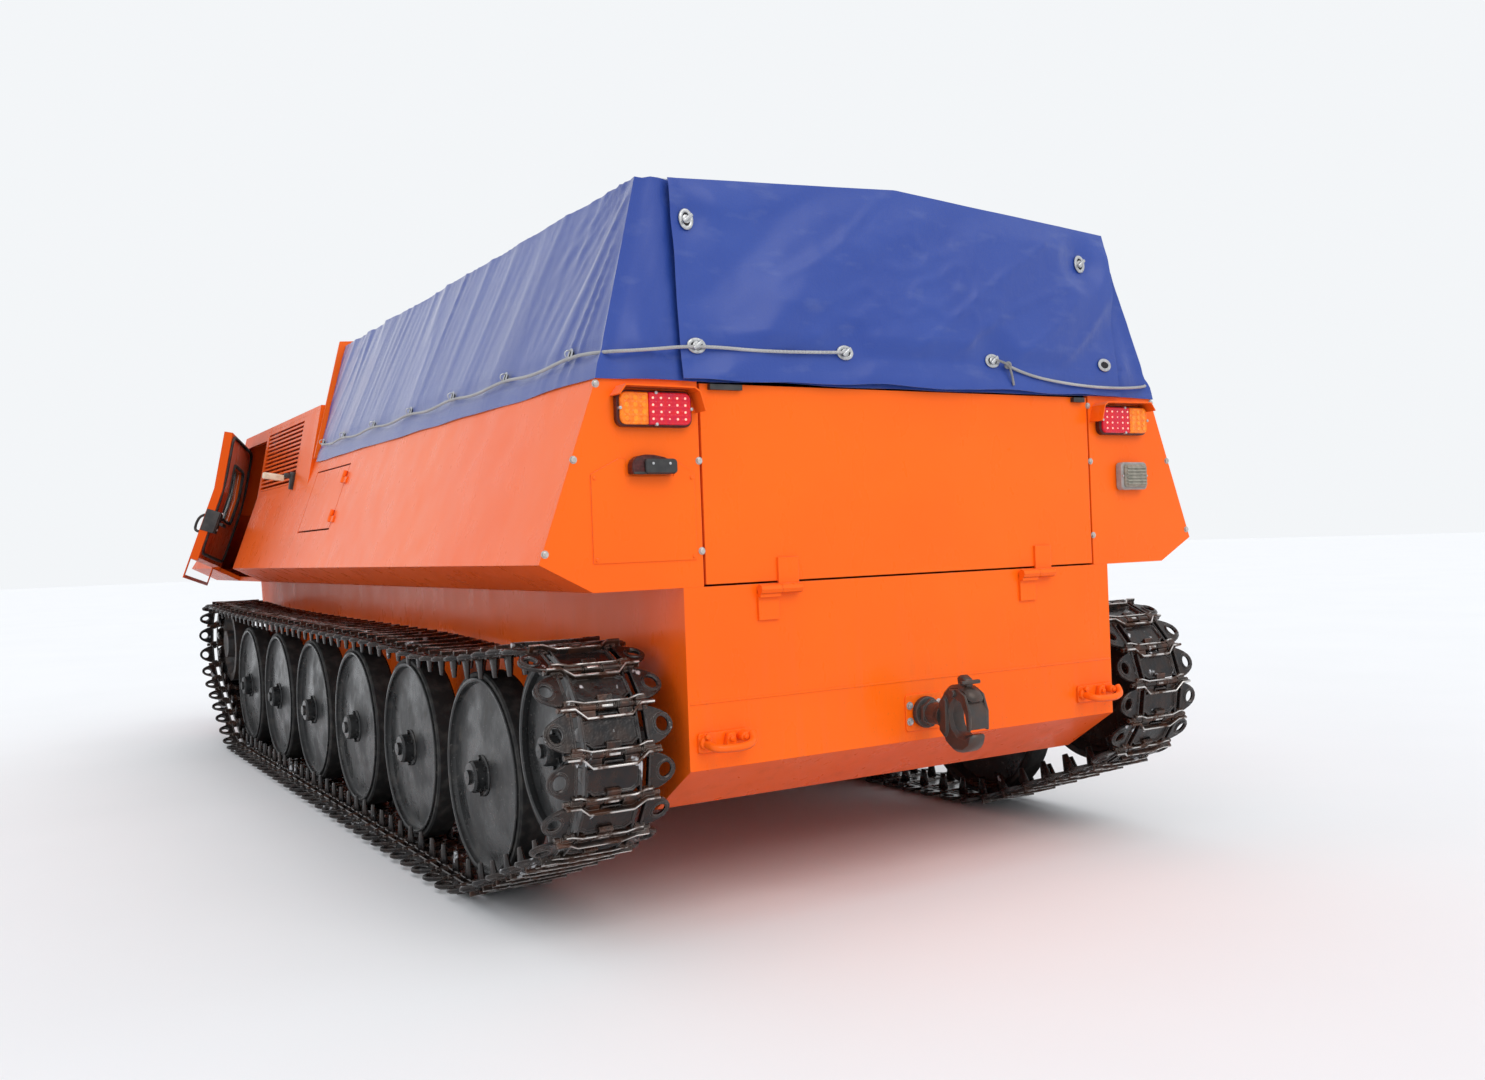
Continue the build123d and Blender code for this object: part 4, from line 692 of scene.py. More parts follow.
line = track_line()
closed = np.vstack([line, line[:1]])
run_length = np.concatenate([[0], np.cumsum(np.hypot(*np.diff(closed, axis=0).T))])
shoe_count = round(run_length[-1] / SHOE_PITCH)
marks = run_length[-1] * np.arange(shoe_count) / shoe_count
pins = np.column_stack([np.interp(marks, run_length, closed[:, i]) for i in (0, 1)])

# One shoe, lying flat: X along the track from its rear pin, Y across, Z out to the ground.
PANEL = [(0.036, -0.084), (0.036, -0.070), (0.028, -0.060), (0.028, -0.031), (0.018, -0.028), (0.018, 0.028),
         (0.028, 0.031), (0.028, 0.060), (0.036, 0.070), (0.036, 0.084), (0.098, 0.084), (0.104, 0.072),
         (0.114, 0.060), (0.114, -0.060), (0.104, -0.072), (0.098, -0.084)]
EAR = [(0.118, 0.111), (0.120, 0.122), (0.116, 0.142), (0.106, 0.164), (0.094, 0.182), (0.080, 0.192),
       (0.066, 0.195), (0.052, 0.192), (0.038, 0.182), (0.026, 0.164), (0.016, 0.142), (0.010, 0.122),
       (0.012, 0.111), (0.034, 0.109), (0.052, 0.109), (0.066, 0.109), (0.080, 0.109), (0.098, 0.109)]
# Each knuckle's ends in Y and its web's ends in X.
KNUCKLES = [((-0.128, -0.088), (-0.024, 0.022)), ((-0.083, -0.031), (0.004, 0.034)),
            ((-0.026, 0.026), (-0.034, -0.004)), ((0.031, 0.083), (0.004, 0.034)),
            ((0.088, 0.128), (-0.024, 0.022))]
EYE_Y, PIN_Z = 0.160, -0.001
panel = bar("panel", PANEL, -0.006, 0.009)
bpy.ops.object.mode_set(mode="EDIT")
bpy.ops.mesh.select_all(action="DESELECT")
bpy.ops.mesh.select_mode(type="FACE")
bpy.ops.object.mode_set(mode="OBJECT")
for face in panel.data.polygons:
    face.select = face.normal.z > 0.9
bpy.ops.object.mode_set(mode="EDIT")
bpy.ops.mesh.inset(thickness=0.0065)
bpy.ops.mesh.extrude_region_move(TRANSFORM_OT_translate={"value": (0, 0, -0.006)})
bpy.ops.transform.resize(value=(0.96, 0.98, 1), center_override=(0.071, 0, 0))
plates, links, crests = [edged(panel, 0.0018)], [], []
for s in (1, -1):
    for name, ys, x0, x1, top in (("inner_rib", (0.080, 0.087), 0.010, SHOE_PITCH - 0.012, 0.012),
                                  ("outer_rib", (0.107, 0.114), 0.008, SHOE_PITCH - 0.008, 0.010)):
        low, high = sorted(s * y for y in ys)
        plates.append(slab(name, (x0, low, -0.010), (x1, high, top), 0.002, 1))
    plates.append(eye_plate("ear", s * EYE_Y, [(x, s * y) for x, y in EAR], 0.0225, 0.0205, -0.007, 0.005))
    rim = [(SHOE_PITCH / 2 + 0.031 * cos(2 * pi * k / 14), s * EYE_Y + 0.028 * sin(2 * pi * k / 14))
           for k in range(14)]
    plates.append(eye_plate("eye_rim", s * EYE_Y, rim, 0.0215, 0.0195, 0.003, 0.009))
for (low, high), (x0, x1) in KNUCKLES:
    links.append(edged(rod("knuckle", 12, 0.0125, high - low, (0, (low + high) / 2, PIN_Z)), 0.0025))
    links.append(slab("web", (x0, low + 0.004, -0.009), (x1, high - 0.004, 0.006), 0.002, 1))
for x, drop, half, height, width in ((0.010, 0.024, 0.142, LUG_H, 0.0045),
                                     (SHOE_PITCH - 0.016, 0.008, 0.118, LUG_H - 0.006, 0.0035)):
    path = [(x - drop * 0.3, -half), (x - drop * 0.3, -0.100), (x + drop * 0.9, -0.068),
            (x + drop * 0.9, 0.068), (x - drop * 0.3, 0.100), (x - drop * 0.3, half)]
    links.append(bar("grouser", strip(path, width), -0.004, height - 0.0015, 0.0018))
    crests.append(bar("crest", strip(path, 0.65 * width), height - 0.003, height, 0.0012))
links.append(rod("pin", 8, 0.0075, 0.292, (0, 0, PIN_Z)))
for s in (1, -1):
    select()
    bpy.ops.mesh.primitive_cone_add(vertices=10, radius1=0.030, radius2=0.015, depth=0.066,
                                    rotation=(pi, 0, 0), location=(SHOE_PITCH / 2, s * 0.076, -0.041))
    bpy.context.object.scale.y = 0.42
    plates.append(edged(applied("horn"), 0.006, 2, 50))
crests.append(slab("middle_knuckle_top", (-0.0035, -0.017, 0.0100), (0.0035, 0.017, 0.0125), 0.001))
shoe_plate, shoe_link, shoe_crest = (join(pieces, name) for pieces, name in (
    (plates, "shoe_plate"), (links, "shoe_link"), (crests, "shoe_crest")))


def rusty_steel(name, bare, rust, mud, rough=0.55, wet=0.2, rust_share=0.6, frost=0.0,
                edge=(0.30, 0.27, 0.25)):
    """Worn steel: brown rust, damp mud in the hollows, edges painted brighter as partly rubbed wear and
    partly painted highlight, crumbs of frost.
    """
    made, tree = material(name)
    soft, face = add(tree, "Bevel", {"Radius": 0.0035}, samples=4), add(tree, "NewGeometry", output="Normal")
    lean = add(tree, "VectorMath", {0: soft, 1: face}, "Value", operation="DOT_PRODUCT")
    layers = [(rust, times(tree, mottling(tree, 0.045, 0.42, 0.62, 6), rust_share)),
              (mud, times(tree, mottling(tree, 0.13, 0.50, 0.66, 5), 0.8)),
              # Brighter edges: partly rubbed wear, partly painted highlight.
              (edge, times(tree, ramp(tree, lean, 0.96, 0.78), mottling(tree, 0.03, 0.30, 0.5), 0.9))]
    if frost:
        layers.append(((0.55, 0.56, 0.58), mottling(tree, 0.055, 0.66 - frost, 0.70 - frost, 8)))
    bumps = [(mottling(tree, 0.030, 0, 1, 3), 0.0018), (mottling(tree, 0.008, 0, 1, 6), 0.0006)]
    skin(tree, {"Base Color": coats(tree, bare, *layers), "Metallic": 0.35, "Normal": relief(tree, bumps),
                "Roughness": scaled(tree, mottling(tree, 0.06), wet, rough - wet)})
    return made


def two_tone(name, clean, worn, marks, rough, depth=0.0, grit=None, rounding=0.0, more=()):
    """Material of two colours, mixed and embossed by one noise, with a finer grit if given."""
    made, tree = material(name)
    share = mottling(tree, *marks)
    rough = scaled(tree, share, *rough) if isinstance(rough, tuple) else rough
    skin(tree, {"Base Color": coats(tree, clean, (worn, share)), "Roughness": rough, **dict(more)})
    bumps = [(share, depth)] if depth else []
    if grit:
        bumps.append((mottling(tree, *grit[0]), grit[1]))
    if bumps:
        skin(tree, {"Normal": relief(tree, bumps, rounding)})
    return made


plate_steel = rusty_steel("plate_steel", (0.012, 0.011, 0.012), (0.040, 0.020, 0.013), (0.022, 0.016, 0.013),
                          0.36, 0.22, 0.55, 0.004, (0.24, 0.22, 0.21))
link_steel = rusty_steel("link_steel", (0.020, 0.014, 0.012), (0.082, 0.028, 0.013), (0.026, 0.016, 0.011),
                         0.40, 0.24, 0.85, 0.006, (0.30, 0.26, 0.23))
# Grouser crests in pale bare steel: partly worn metal, partly painted highlight.
crest_steel = two_tone("crest_steel", (0.62, 0.60, 0.58), (0.075, 0.040, 0.026), (0.045, 0.46, 0.60, 5),
                       (0.35, 0.26), 0.0005, more={"Metallic": 0.7})
for side, s in (("left", 1), ("right", -1)):
    places = []
    for a, b in zip(pins, np.roll(pins, -1, axis=0)):
        dx, dz = (b - a) / np.hypot(*(b - a))
        places.append([[dx, 0, dz, a[0]], [0, 1, 0, s * TRACK_Y], [dz, 0, -dx, GROUND + a[1]], [0, 0, 0, 1]])
    for kind, shoe, look in (("plates", shoe_plate, plate_steel), ("links", shoe_link, link_steel),
                             ("crests", shoe_crest, crest_steel)):
        track = laid(shoe, "track_%s_%s" % (kind, side), places)
        outward(track)
        fitted(track, look, "track_" + side, degrees=30)
for shoe in (shoe_plate, shoe_link, shoe_crest):
    bpy.data.objects.remove(shoe)


# Road wheels and idlers: pressed and dished steel discs with a rolled lip, a black rubber
# tyre bonded to the rim, and a bolted cap over the hub's bearing.
def turned(name, outline, hub, steps):
    """Closed outline in radius and Y offset, spun in edit mode about the crosswise axle."""
    x, y, z = hub
    n = len(outline)
    piece = built(name, [(x + r, y + o, z) for r, o in outline], [(i, (i + 1) % n) for i in range(n)])
    edit(piece)
    bpy.ops.mesh.spin(steps=steps, angle=2 * pi, center=hub, axis=(0, 1, 0))
    outward(piece, 0.00005)
    smooth(piece, 32)
    return piece


def wheel_parts(hub, rim, lip, dish, cap):
    """Disc with its lip, tyre and bolted cap of one wheel, from its radii."""
    x, y, z = hub
    s, w = (1 if y > 0 else -1), WHEEL_W / 2
    disc = [(0.002, 0.020), (dish - 0.006, 0.012), (dish + 0.004, 0.006), (dish + 0.010, -w + 0.012),
            (lip - 0.006, -w), (lip - 0.002, -w), (lip - 0.002, w - 0.016), (lip, w - 0.010),
            (lip, w - 0.003), (lip - 0.003, w - 0.0003), (lip - 0.010, w - 0.0003), (lip - 0.015, w - 0.004),
            (lip - 0.016, 0.036), (dish + 0.008, 0.029), (dish - 0.004, 0.0245), (dish * 0.90, 0.0245),
            (dish * 0.62, 0.031), (dish * 0.40, 0.0355), (0.088, 0.037), (0.078, 0.0395), (0.002, 0.0395)]
    tyre = [(lip - 0.006, -w), (rim - 0.006, -w), (rim, -w + 0.008), (rim, w - 0.016),
            (rim - 0.005, w - 0.009), (lip - 0.001, w - 0.009), (lip - 0.001, w - 0.016),
            (lip - 0.006, w - 0.020)]
    hub_cap = [(0.002, 0.036), (cap, 0.036), (cap, 0.043), (cap * 0.95, 0.047), (cap * 0.78, 0.047),
               (cap * 0.76, 0.078), (cap * 0.68, 0.086), (cap * 0.36, 0.087), (cap * 0.34, 0.097),
               (0.002, 0.098)]
    pieces = [turned(name, [(r, s * o) for r, o in outline], hub, steps)
              for name, outline, steps in (("disc", disc, 48), ("tyre", tyre, 64), ("cap", hub_cap, 24))]
    bolts = []
    for k in range(6):
        t = 2 * pi * (k + 0.5) / 6
        bolts.append(rod("bolt", 6, 0.0075, 0.010,
                         (x + cap * 0.87 * cos(t), y + s * 0.050, z + cap * 0.87 * sin(t))))
    return [*pieces[:2], join([pieces[2], *bolts], "cap")]


def wheel_set(name, node, hubs, *radii):
    """Wheels of one size as three pieces: all their discs, all their tyres and all their caps."""
    kinds = zip(*[wheel_parts(hub, *radii) for hub in hubs])
    for kind, pieces, look in zip(("disc", "tyre", "cap"), kinds, (disc_enamel, tyre_rubber, disc_enamel)):
        fitted(join(pieces, name % kind), look, node, degrees=0)


disc_enamel, tree = material("wheel_disc_enamel")
dust, chips = mottling(tree, 0.05, 0.55, 0.75, 7), mottling(tree, 0.010, 0.66, 0.70)
skin(tree, {
    "Base Color": coats(tree, (0.021, 0.022, 0.023),
                        ((0.040, 0.040, 0.040), mottling(tree, 0.26, 0.40, 0.64)),
                        ((0.115, 0.105, 0.095), times(tree, dust, 0.5)),
                        ((0.20, 0.19, 0.18), times(tree, chips, 0.7))),
    "Roughness": scaled(tree, mottling(tree, 0.16, 0.42, 0.58), 0.26, scaled(tree, dust, 0.2, 0.22)),
    "Metallic": 0.30,
    "Normal": relief(tree, [(mottling(tree, 0.05, 0, 1, 3), 0.0022), (chips, -0.0003)]),
})
tyre_rubber = two_tone("tyre_rubber", (0.014, 0.014, 0.014), (0.060, 0.055, 0.050), (0.04, 0.45, 0.75, 6),
                       0.72, 0.0012, ((0.004, 0, 1, 3), 0.0004))
for side, s in (("left", 1), ("right", -1)):
    wheel_set("road_wheel_%ss_" + side, "road_wheels_" + side,
              [(x, s * TRACK_Y, up(WHEEL_H)) for x in WHEEL_XS], WHEEL_R, 0.329, 0.300, 0.070)
wheel_set("idler_%ss", "idlers", [(IDLER[0], s * TRACK_Y, up(IDLER[1])) for s in (1, -1)],
          IDLER[2] - PLATE_IN - FIT, 0.262, 0.240, 0.060)
gear_steel = rusty_steel("gear_steel", (0.040, 0.040, 0.042), (0.090, 0.050, 0.032), (0.048, 0.034, 0.026),
                         rust_share=0.5)
for node in ("sprockets", "arms_left", "arms_right", "final_drives"):
    shade(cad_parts[node], gear_steel)


# Eyelets of the cover: pressed zinc rings in the hem, small upright ones along the sides with
# a wire ring for the rope, larger ones behind with a turn button each.
def lie_on(origin, right, above=(0, 0, 1)):
    """Place for a piece modelled flat: its X and Y along two directions, its Z outward."""
    a, b = Vector(right).normalized(), Vector(above).normalized()
    return Matrix.Translation(origin) @ Matrix((a, b, a.cross(b))).transposed().to_4x4()


def round_bar(name, radius, z0, z1, x=0.0, y=0.0, sides=12, bevel=0.0):
    """Short round bar standing on a flat piece, its rims rounded."""
    select()
    bpy.ops.mesh.primitive_cylinder_add(vertices=sides, radius=radius, depth=z1 - z0,
                                        location=(x, y, (z0 + z1) / 2))
    piece = applied(name)
    return edged(piece, bevel, 2, 50) if bevel else piece


def ring(name, width, height, wire, z=0.0, flat=0.6, turn=(0, 0, 0)):
    """Oval ring of round wire, outside sizes given."""
    select()
    bpy.ops.mesh.primitive_torus_add(major_radius=0.1, minor_radius=wire, major_segments=28, minor_segments=8)
    piece = bpy.context.object
    for v in piece.data.vertices:
        reach = hypot(v.co.x, v.co.y)
        part = reach - 0.1
        a, b = v.co.x / reach, v.co.y / reach
        v.co = Vector((a * (width / 2 - wire + part), b * (height / 2 - wire + part), v.co.z * flat))
    piece.rotation_euler = turn
    piece.location.z = z
    return applied(name)


def zinc(name, base):
    """Bright zinc plating with fingerprints, dull spots and a little rust."""
    made, tree = material(name)
    dull = mottling(tree, 0.012, 0.35, 0.75, 5)
    rust = times(tree, mottling(tree, 0.006, 0.60, 0.72, 5), 0.5)
    skin(tree, {"Base Color": coats(tree, base, ([0.6 * c for c in base], dull), ((0.20, 0.16, 0.12), rust)),
                "Roughness": scaled(tree, dull, 0.30, 0.22), "Metallic": 0.55,
                "Normal": relief(tree, [(dull, 0.0003)])})
    return made


def stretched(place, wide, high):
    """A place whose piece is scaled along its own X and Y."""
    return place @ Matrix.Scale(wide, 4, (1, 0, 0)) @ Matrix.Scale(high, 4, (0, 1, 0))


zinc_plate = zinc("zinc_plate", (0.56, 0.57, 0.58))
# Painted shade: a near-black disc behind each ring stands for the shade seen through its hole in the cloth.
painted_hole_shade = two_tone("shaded_hole", (0.008, 0.008, 0.010), (0.020, 0.018, 0.020), (0.01,), 0.9)
SIDE_PROUD, REAR_PROUD = 0.0025, 0.0125
rear_up = (TOP_X - HEM_X, 0, hi - lo)
side_places = []
for x in EYELET_XS:
    a, b, c = side_spot(x, EYELET_H + 0.008, SIDE_PROUD)
    side_places += [lie_on((a, s * b, c), (-s, 0, 0), (0, s * (TOP_Y - HEM_Y), hi - lo)) for s in (1, -1)]
rear_wide = [lie_on(rear_spot(y, h, REAR_PROUD), (0, -1, 0), rear_up) for y, h in WIDE_RINGS]
bare_place = lie_on(rear_spot(*BARE_RING, REAR_PROUD), (0, -1, 0), rear_up)
rear_tall = [lie_on(rear_spot(y, h, REAR_PROUD + 0.002), (0, -1, 0), rear_up) for y, h in TALL_RINGS]
small = join([ring("eyelet", 0.030, 0.040, 0.0042),
              ring("rope_ring", 0.030, 0.026, 0.0019, 0.004, 1, (0, pi / 2, 0))], "small_eyelet")
wide = ring("wide_eyelet", 0.062, 0.047, 0.0062, flat=0.55)
wing = slab("wing", (-0.020, -0.0055, 0.0085), (0.020, 0.0055, 0.0145), 0.003)
wing.rotation_euler = (0, 0, radians(38))
button = join([applied("wing"), round_bar("stem", 0.0042, -0.001, 0.012),
               round_bar("foot", 0.013, -0.0015, 0.003, bevel=0.001)], "button")
tall = ring("tall_eyelet", 0.048, 0.064, 0.0062, flat=0.55)
hole = round_bar("hole", 0.012, -0.006, 0.0004, sides=20)
rings = [laid(small, "small_eyelets", side_places), laid(wide, "wide_eyelets", rear_wide + [bare_place]),
         laid(tall, "tall_eyelets", rear_tall), laid(button, "turn_buttons", rear_wide + rear_tall)]
fitted(join(rings, "cover_eyelets"), zinc_plate, "tarp")
hole_places = side_places + [stretched(place, 1.7, 1.2) for place in rear_wide + [bare_place]]
hole_places += [stretched(place, 1.2, 1.8) for place in rear_tall]
fitted(laid(hole, "eyelet_hole_shades", hole_places), painted_hole_shade, "tarp")
for piece in (small, wide, tall, button, hole):
    bpy.data.objects.remove(piece)


# Tail lamps: an amber and a red lens screwed over one dark housing on each rear corner, with
# rows of small diodes behind them. The lamp lies flat on the plate.
def rounded(u0, u1, v0, v1, radii, steps=5):
    """Rectangle with a radius for each corner: low left, low right, top right, top left."""
    points = []
    centres = ((u0, v0, 1, 1, pi), (u1, v0, -1, 1, 1.5 * pi), (u1, v1, -1, -1, 0), (u0, v1, 1, -1, 0.5 * pi))
    for (u, v, a, b, start), r in zip(centres, radii):
        for k in range(steps + 1 if r else 1):
            t = start + pi / 2 * k / steps
            points.append((u + a * r + r * cos(t), v + b * r + r * sin(t)) if r else (u, v))
    return points


def lens_plastic(name, base, deep, cell, glow=0.0, rough=0.16):
    """Moulded lens with square prisms behind its face."""
    made, tree = material(name)
    colour = coats(tree, base, (deep, mottling(tree, 0.018, detail=3)))
    skin(tree, {"Base Color": colour, "Normal": relief(tree, [(bands(tree, "YZ", 0.314 / cell), 0.0008)]),
                "Roughness": rough, "Coat Weight": 0.2, "Specular IOR Level": 0.3})
    if glow:
        skin(tree, {"Emission Color": colour, "Emission Strength": glow})
    return made


def lens_outline(s, a, b, round_a, round_b):
    """Outline of a lens from its end a to its end b, each with its own corner radius."""
    (u0, first), (u1, second) = sorted(((-s * a, round_a), (-s * b, round_b)))
    return rounded(u0, u1, LAMP_LOW + 0.006, LAMP_TOP - 0.006, (first, second, second, first))


REAR = lie_on((0, 0, GROUND), (0, -1, 0))
LAMP_IN, LAMP_OUT, LAMP_LOW, LAMP_TOP = 0.815, 1.050, 1.458, 1.560
LAMP_SPLIT = LAMP_OUT - 0.40 * (LAMP_OUT - LAMP_IN)
amber_lens = lens_plastic("amber_lens", (0.95, 0.23, 0.004), (0.80, 0.15, 0.004), 0.012, 0.10)
red_lens = lens_plastic("red_lens", (0.64, 0.005, 0.014), (0.52, 0.004, 0.034), 0.012, 0.16)
diode_glow = lens_plastic("diode_glow", (1.0, 0.55, 0.42), (1.0, 0.42, 0.36), 0.004, 0.55)
amber_glow = lens_plastic("amber_diodes", (1.0, 0.33, 0.015), (0.95, 0.24, 0.010), 0.004, 0.12)
lamp_housing = lens_plastic("lamp_housing", (0.10, 0.016, 0.014), (0.045, 0.010, 0.010), 0.004, 0, 0.3)
looks = {"housing": lamp_housing, "amber": amber_lens, "red": red_lens, "diode": diode_glow,
         "amber_diode": amber_glow, "screw": zinc_plate}
groups = {kind: [] for kind in looks}
for s in (1, -1):
    u0, u1 = sorted((-s * LAMP_IN, -s * LAMP_OUT))
    middle_u, middle_v = (u0 + u1) / 2, (LAMP_LOW + LAMP_TOP) / 2
    outline = rounded(u0, u1, LAMP_LOW, LAMP_TOP, (0.024,) * 4)
    groups["housing"].append(bar("housing", outline, 0, 0.024, 0.003))
    for kind, ends in (("amber", (LAMP_OUT - 0.007, LAMP_SPLIT + 0.0005, 0.019, 0)),
                       ("red", (LAMP_SPLIT - 0.0005, LAMP_IN + 0.007, 0, 0.019))):
        groups[kind].append(bar(kind, lens_outline(s, *ends), 0.010, 0.033, 0.003))
    for v in [LAMP_LOW + 0.022 + i * 0.0195 for i in range(4)]:
        for k in range(5):
            u, radius = -s * (LAMP_SPLIT - 0.013 - k * 0.0255), 0.0024 if k == 2 else 0.0036
            groups["diode"].append(round_bar("diode", radius, 0.0325, 0.0342, u, v, 8))
        for k in range(3):
            u = -s * (LAMP_SPLIT + 0.015 + k * 0.0265)
            groups["amber_diode"].append(round_bar("diode", 0.0070, 0.0325, 0.0339, u, v, 8))
    for u, v in ((middle_u, LAMP_LOW + 0.007), (middle_u, LAMP_TOP - 0.007),
                 (u0 + 0.006, middle_v), (u1 - 0.006, middle_v)):
        groups["screw"].append(round_bar("screw", 0.0048, 0.024, 0.0355, u, v, 10, 0.0012))
for kind, look in looks.items():
    fitted(join(groups[kind], "tail_lamp_%ss" % kind), look, "tail_lamps", place=REAR)


# Plate lamp: a black moulded body with an arched top over the plate, its cover held by two
# screws and leaving a dark red window at one end.
black_plastic = two_tone("black_plastic", (0.018, 0.018, 0.019), (0.050, 0.048, 0.046), (0.03, 0.4, 0.8, 5),
                         0.42, grit=((0.002, 0, 1, 2), 0.0002), rounding=0.002)
ARCH = [(-1.013, 1.327), (-0.877, 1.327), (-0.877, 1.352), (-0.888, 1.364), (-0.912, 1.374), (-0.945, 1.3805),
        (-0.972, 1.381), (-0.995, 1.376), (-1.008, 1.366), (-1.013, 1.354)]
body = bar("plate_lamp_body", ARCH, 0, 0.034, 0.004)
cover = bar("plate_lamp_cover", rounded(-0.976, -0.878, 1.328, 1.369, (0.006, 0.010, 0.012, 0.008)),
            0.030, 0.045, 0.003)
foot = bar("plate_lamp_foot", rounded(-1.011, -0.900, 1.3265, 1.333, (0.002,) * 4, 2), 0.030, 0.0375, 0.001)
screws = [round_bar("screw", 0.0040, 0.043, 0.0472, u, 1.3555, 10, 0.001) for u in (-0.955, -0.902)]
for piece, look in ((body, lamp_housing), (join([cover, foot], "plate_lamp_cover"), black_plastic),
                    (join(screws, "plate_lamp_screws"), zinc_plate)):
    fitted(piece, look, "plate_lamp", place=REAR)


# Reversing lamp: a ribbed clear lens in a grey moulded frame on the right rear corner, held
# by two screws at its ends.
clear_lens = lens_plastic("clear_lens", (0.32, 0.30, 0.24), (0.20, 0.19, 0.155), 0.010, 0.0, 0.10)
grey_frame = lens_plastic("grey_frame", (0.44, 0.42, 0.40), (0.34, 0.325, 0.31), 0.003, 0.0, 0.35)
rim = bar("reversing_frame", rounded(0.908, 1.036, 1.264, 1.361, (0.014,) * 4), 0, 0.030, 0.004)
ribs = [bar("reversing_lens", rounded(0.917, 1.027, 1.273, 1.352, (0.009,) * 4), 0.020, 0.040, 0.004)]
for v in [1.2835 + k * 0.0116 for k in range(6)]:
    outline = rounded(0.923, 1.021, v - 0.0036, v + 0.0036, (0.002,) * 4, 1)
    ribs.append(bar("rib", outline, 0.038, 0.0438, 0.0015))
screws = [round_bar("screw", 0.0038, 0.028, 0.034, u, 1.3125, 10, 0.001) for u in (0.9125, 1.0315)]
for piece, look in ((rim, grey_frame), (join(ribs, "reversing_lens"), clear_lens),
                    (join(screws, "reversing_screws"), zinc_plate)):
    fitted(piece, look, "reversing_lamp", place=REAR)


# Screws of the rear corner plates: zinc pan heads on washers, three down each edge of a plate,
# and small rivets at the corners of the number plate's sheet.
heads = []
for y, h in ((1.101, 1.577), (1.175, 1.368), (1.267, 1.115), (0.782, 1.560), (0.785, 1.366), (0.786, 1.108)):
    for u in (-y, y):
        heads += [round_bar("washer", 0.0110, 0, 0.0014, u, h, 14),
                  round_bar("head", 0.0082, 0.001, 0.0058, u, h, 14, 0.002),
                  round_bar("socket", 0.0030, 0.0056, 0.0064, u, h, 6)]
dull_zinc = zinc("dull_zinc", (0.62, 0.58, 0.55))
fitted(join(heads, "corner_screws"), dull_zinc, place=REAR)
rivets = [round_bar("rivet", 0.0055, 0.002, 0.0058, u, h, 10, 0.0015)
          for h in (1.094, 1.318) for u in (-1.116, -0.813)]
fitted(join(rivets, "sheet_rivets"), body_enamel, place=REAR)


# Weld bead: a flat ground-down seam across the rear plate where its two sheets meet, painted
# over with the body.
bead = slab("rear_weld_bead", (-0.0016, -0.843, 0.1000), (0.001, 0.843, 0.1070), 0.0007)
fitted(bead, body_enamel)


# Towing hook: a forged C-shaped jaw on a round shank, closed by a pivoting latch with its lock
# on top, worn black iron. The shank goes through a painted plate with four zinc bolts.
def tube(name, points, radius, closed=False, steps=4, sides=2):
    """Round bar or wire bent through points, as a mesh."""
    select(bent(name, points, radius, steps, sides, closed))
    bpy.ops.object.convert(target="MESH")
    piece = bpy.context.object
    if not closed:
        outward(piece, 0.00002)
    return piece


HOOK_SIDE, HOOK_BACK = lie_on((0, 0, 0), (1, 0, 0)), lie_on((0, 0, 0), (0, -1, 0))
JAW = [(-0.112, -0.034), (-0.112, 0.034), (-0.128, 0.072), (-0.158, 0.098), (-0.200, 0.104), (-0.240, 0.090),
       (-0.262, 0.060), (-0.250, 0.046), (-0.222, 0.062), (-0.192, 0.058), (-0.172, 0.036), (-0.166, 0.006),
       (-0.174, -0.028), (-0.196, -0.050), (-0.226, -0.054), (-0.248, -0.040), (-0.262, -0.052),
       (-0.250, -0.084), (-0.216, -0.104), (-0.172, -0.104), (-0.134, -0.080)]
LATCH = [(-0.170, 0.088), (-0.214, 0.092), (-0.246, 0.074), (-0.264, 0.024), (-0.262, -0.034),
         (-0.248, -0.034), (-0.242, 0.014), (-0.224, 0.050), (-0.190, 0.062)]
BRIDGE = [(-0.238, 0.064), (-0.262, 0.022), (-0.262, -0.030), (-0.251, -0.030), (-0.247, 0.016),
          (-0.228, 0.054)]
LOCK = [(-0.226, 0.094), (-0.186, 0.100), (-0.182, 0.122), (-0.200, 0.132), (-0.226, 0.118)]
LOCK_PIN = [(-0.236, 0.104), (-0.222, 0.104), (-0.222, 0.116), (-0.236, 0.116)]
CHEEK = [(-0.116, -0.044), (-0.116, 0.044), (-0.142, 0.070), (-0.158, 0.050), (-0.156, -0.044),
         (-0.140, -0.066)]
hook_steel = rusty_steel("hook_steel", (0.050, 0.046, 0.045), (0.085, 0.045, 0.030), (0.040, 0.028, 0.022),
                         0.46, 0.15, 0.6, 0, (0.22, 0.19, 0.17))
hook_side = join([
    bar("jaw", JAW, -0.030, 0.030, 0.009),
    bar("latch_plate", LATCH, -0.040, -0.031, 0.003),
    bar("latch_plate", LATCH, 0.031, 0.040, 0.003),
    bar("latch_bridge", BRIDGE, -0.034, 0.034, 0.003),
    round_bar("pivot", 0.012, -0.048, 0.048, -0.192, 0.076, 12, 0.002),
    round_bar("pivot_head", 0.018, 0.040, 0.050, -0.192, 0.076, 6, 0.002),
    bar("lock", LOCK, -0.015, 0.015, 0.004),
    bar("lock_pin", LOCK_PIN, -0.036, 0.036, 0.003),
    bar("cheek", CHEEK, -0.038, 0.038, 0.006),
], "hook_side")
hook_side.data.transform(HOOK_SIDE)
select()
bpy.ops.mesh.primitive_cone_add(vertices=24, radius1=0.034, radius2=0.047, depth=0.034,
                                location=(0, 0, 0.104))
hook_back = join([
    applied("neck"),
    round_bar("shank", 0.034, 0.004, 0.112, sides=24),
    round_bar("collar", 0.050, 0.005, 0.026, sides=28, bevel=0.005),
    round_bar("nut", 0.044, 0.026, 0.046, sides=6, bevel=0.003),
], "hook_back")
hook_back.data.transform(HOOK_BACK)
fitted(join([hook_side, hook_back], "towing_hook"), hook_steel, "pintle_hook")
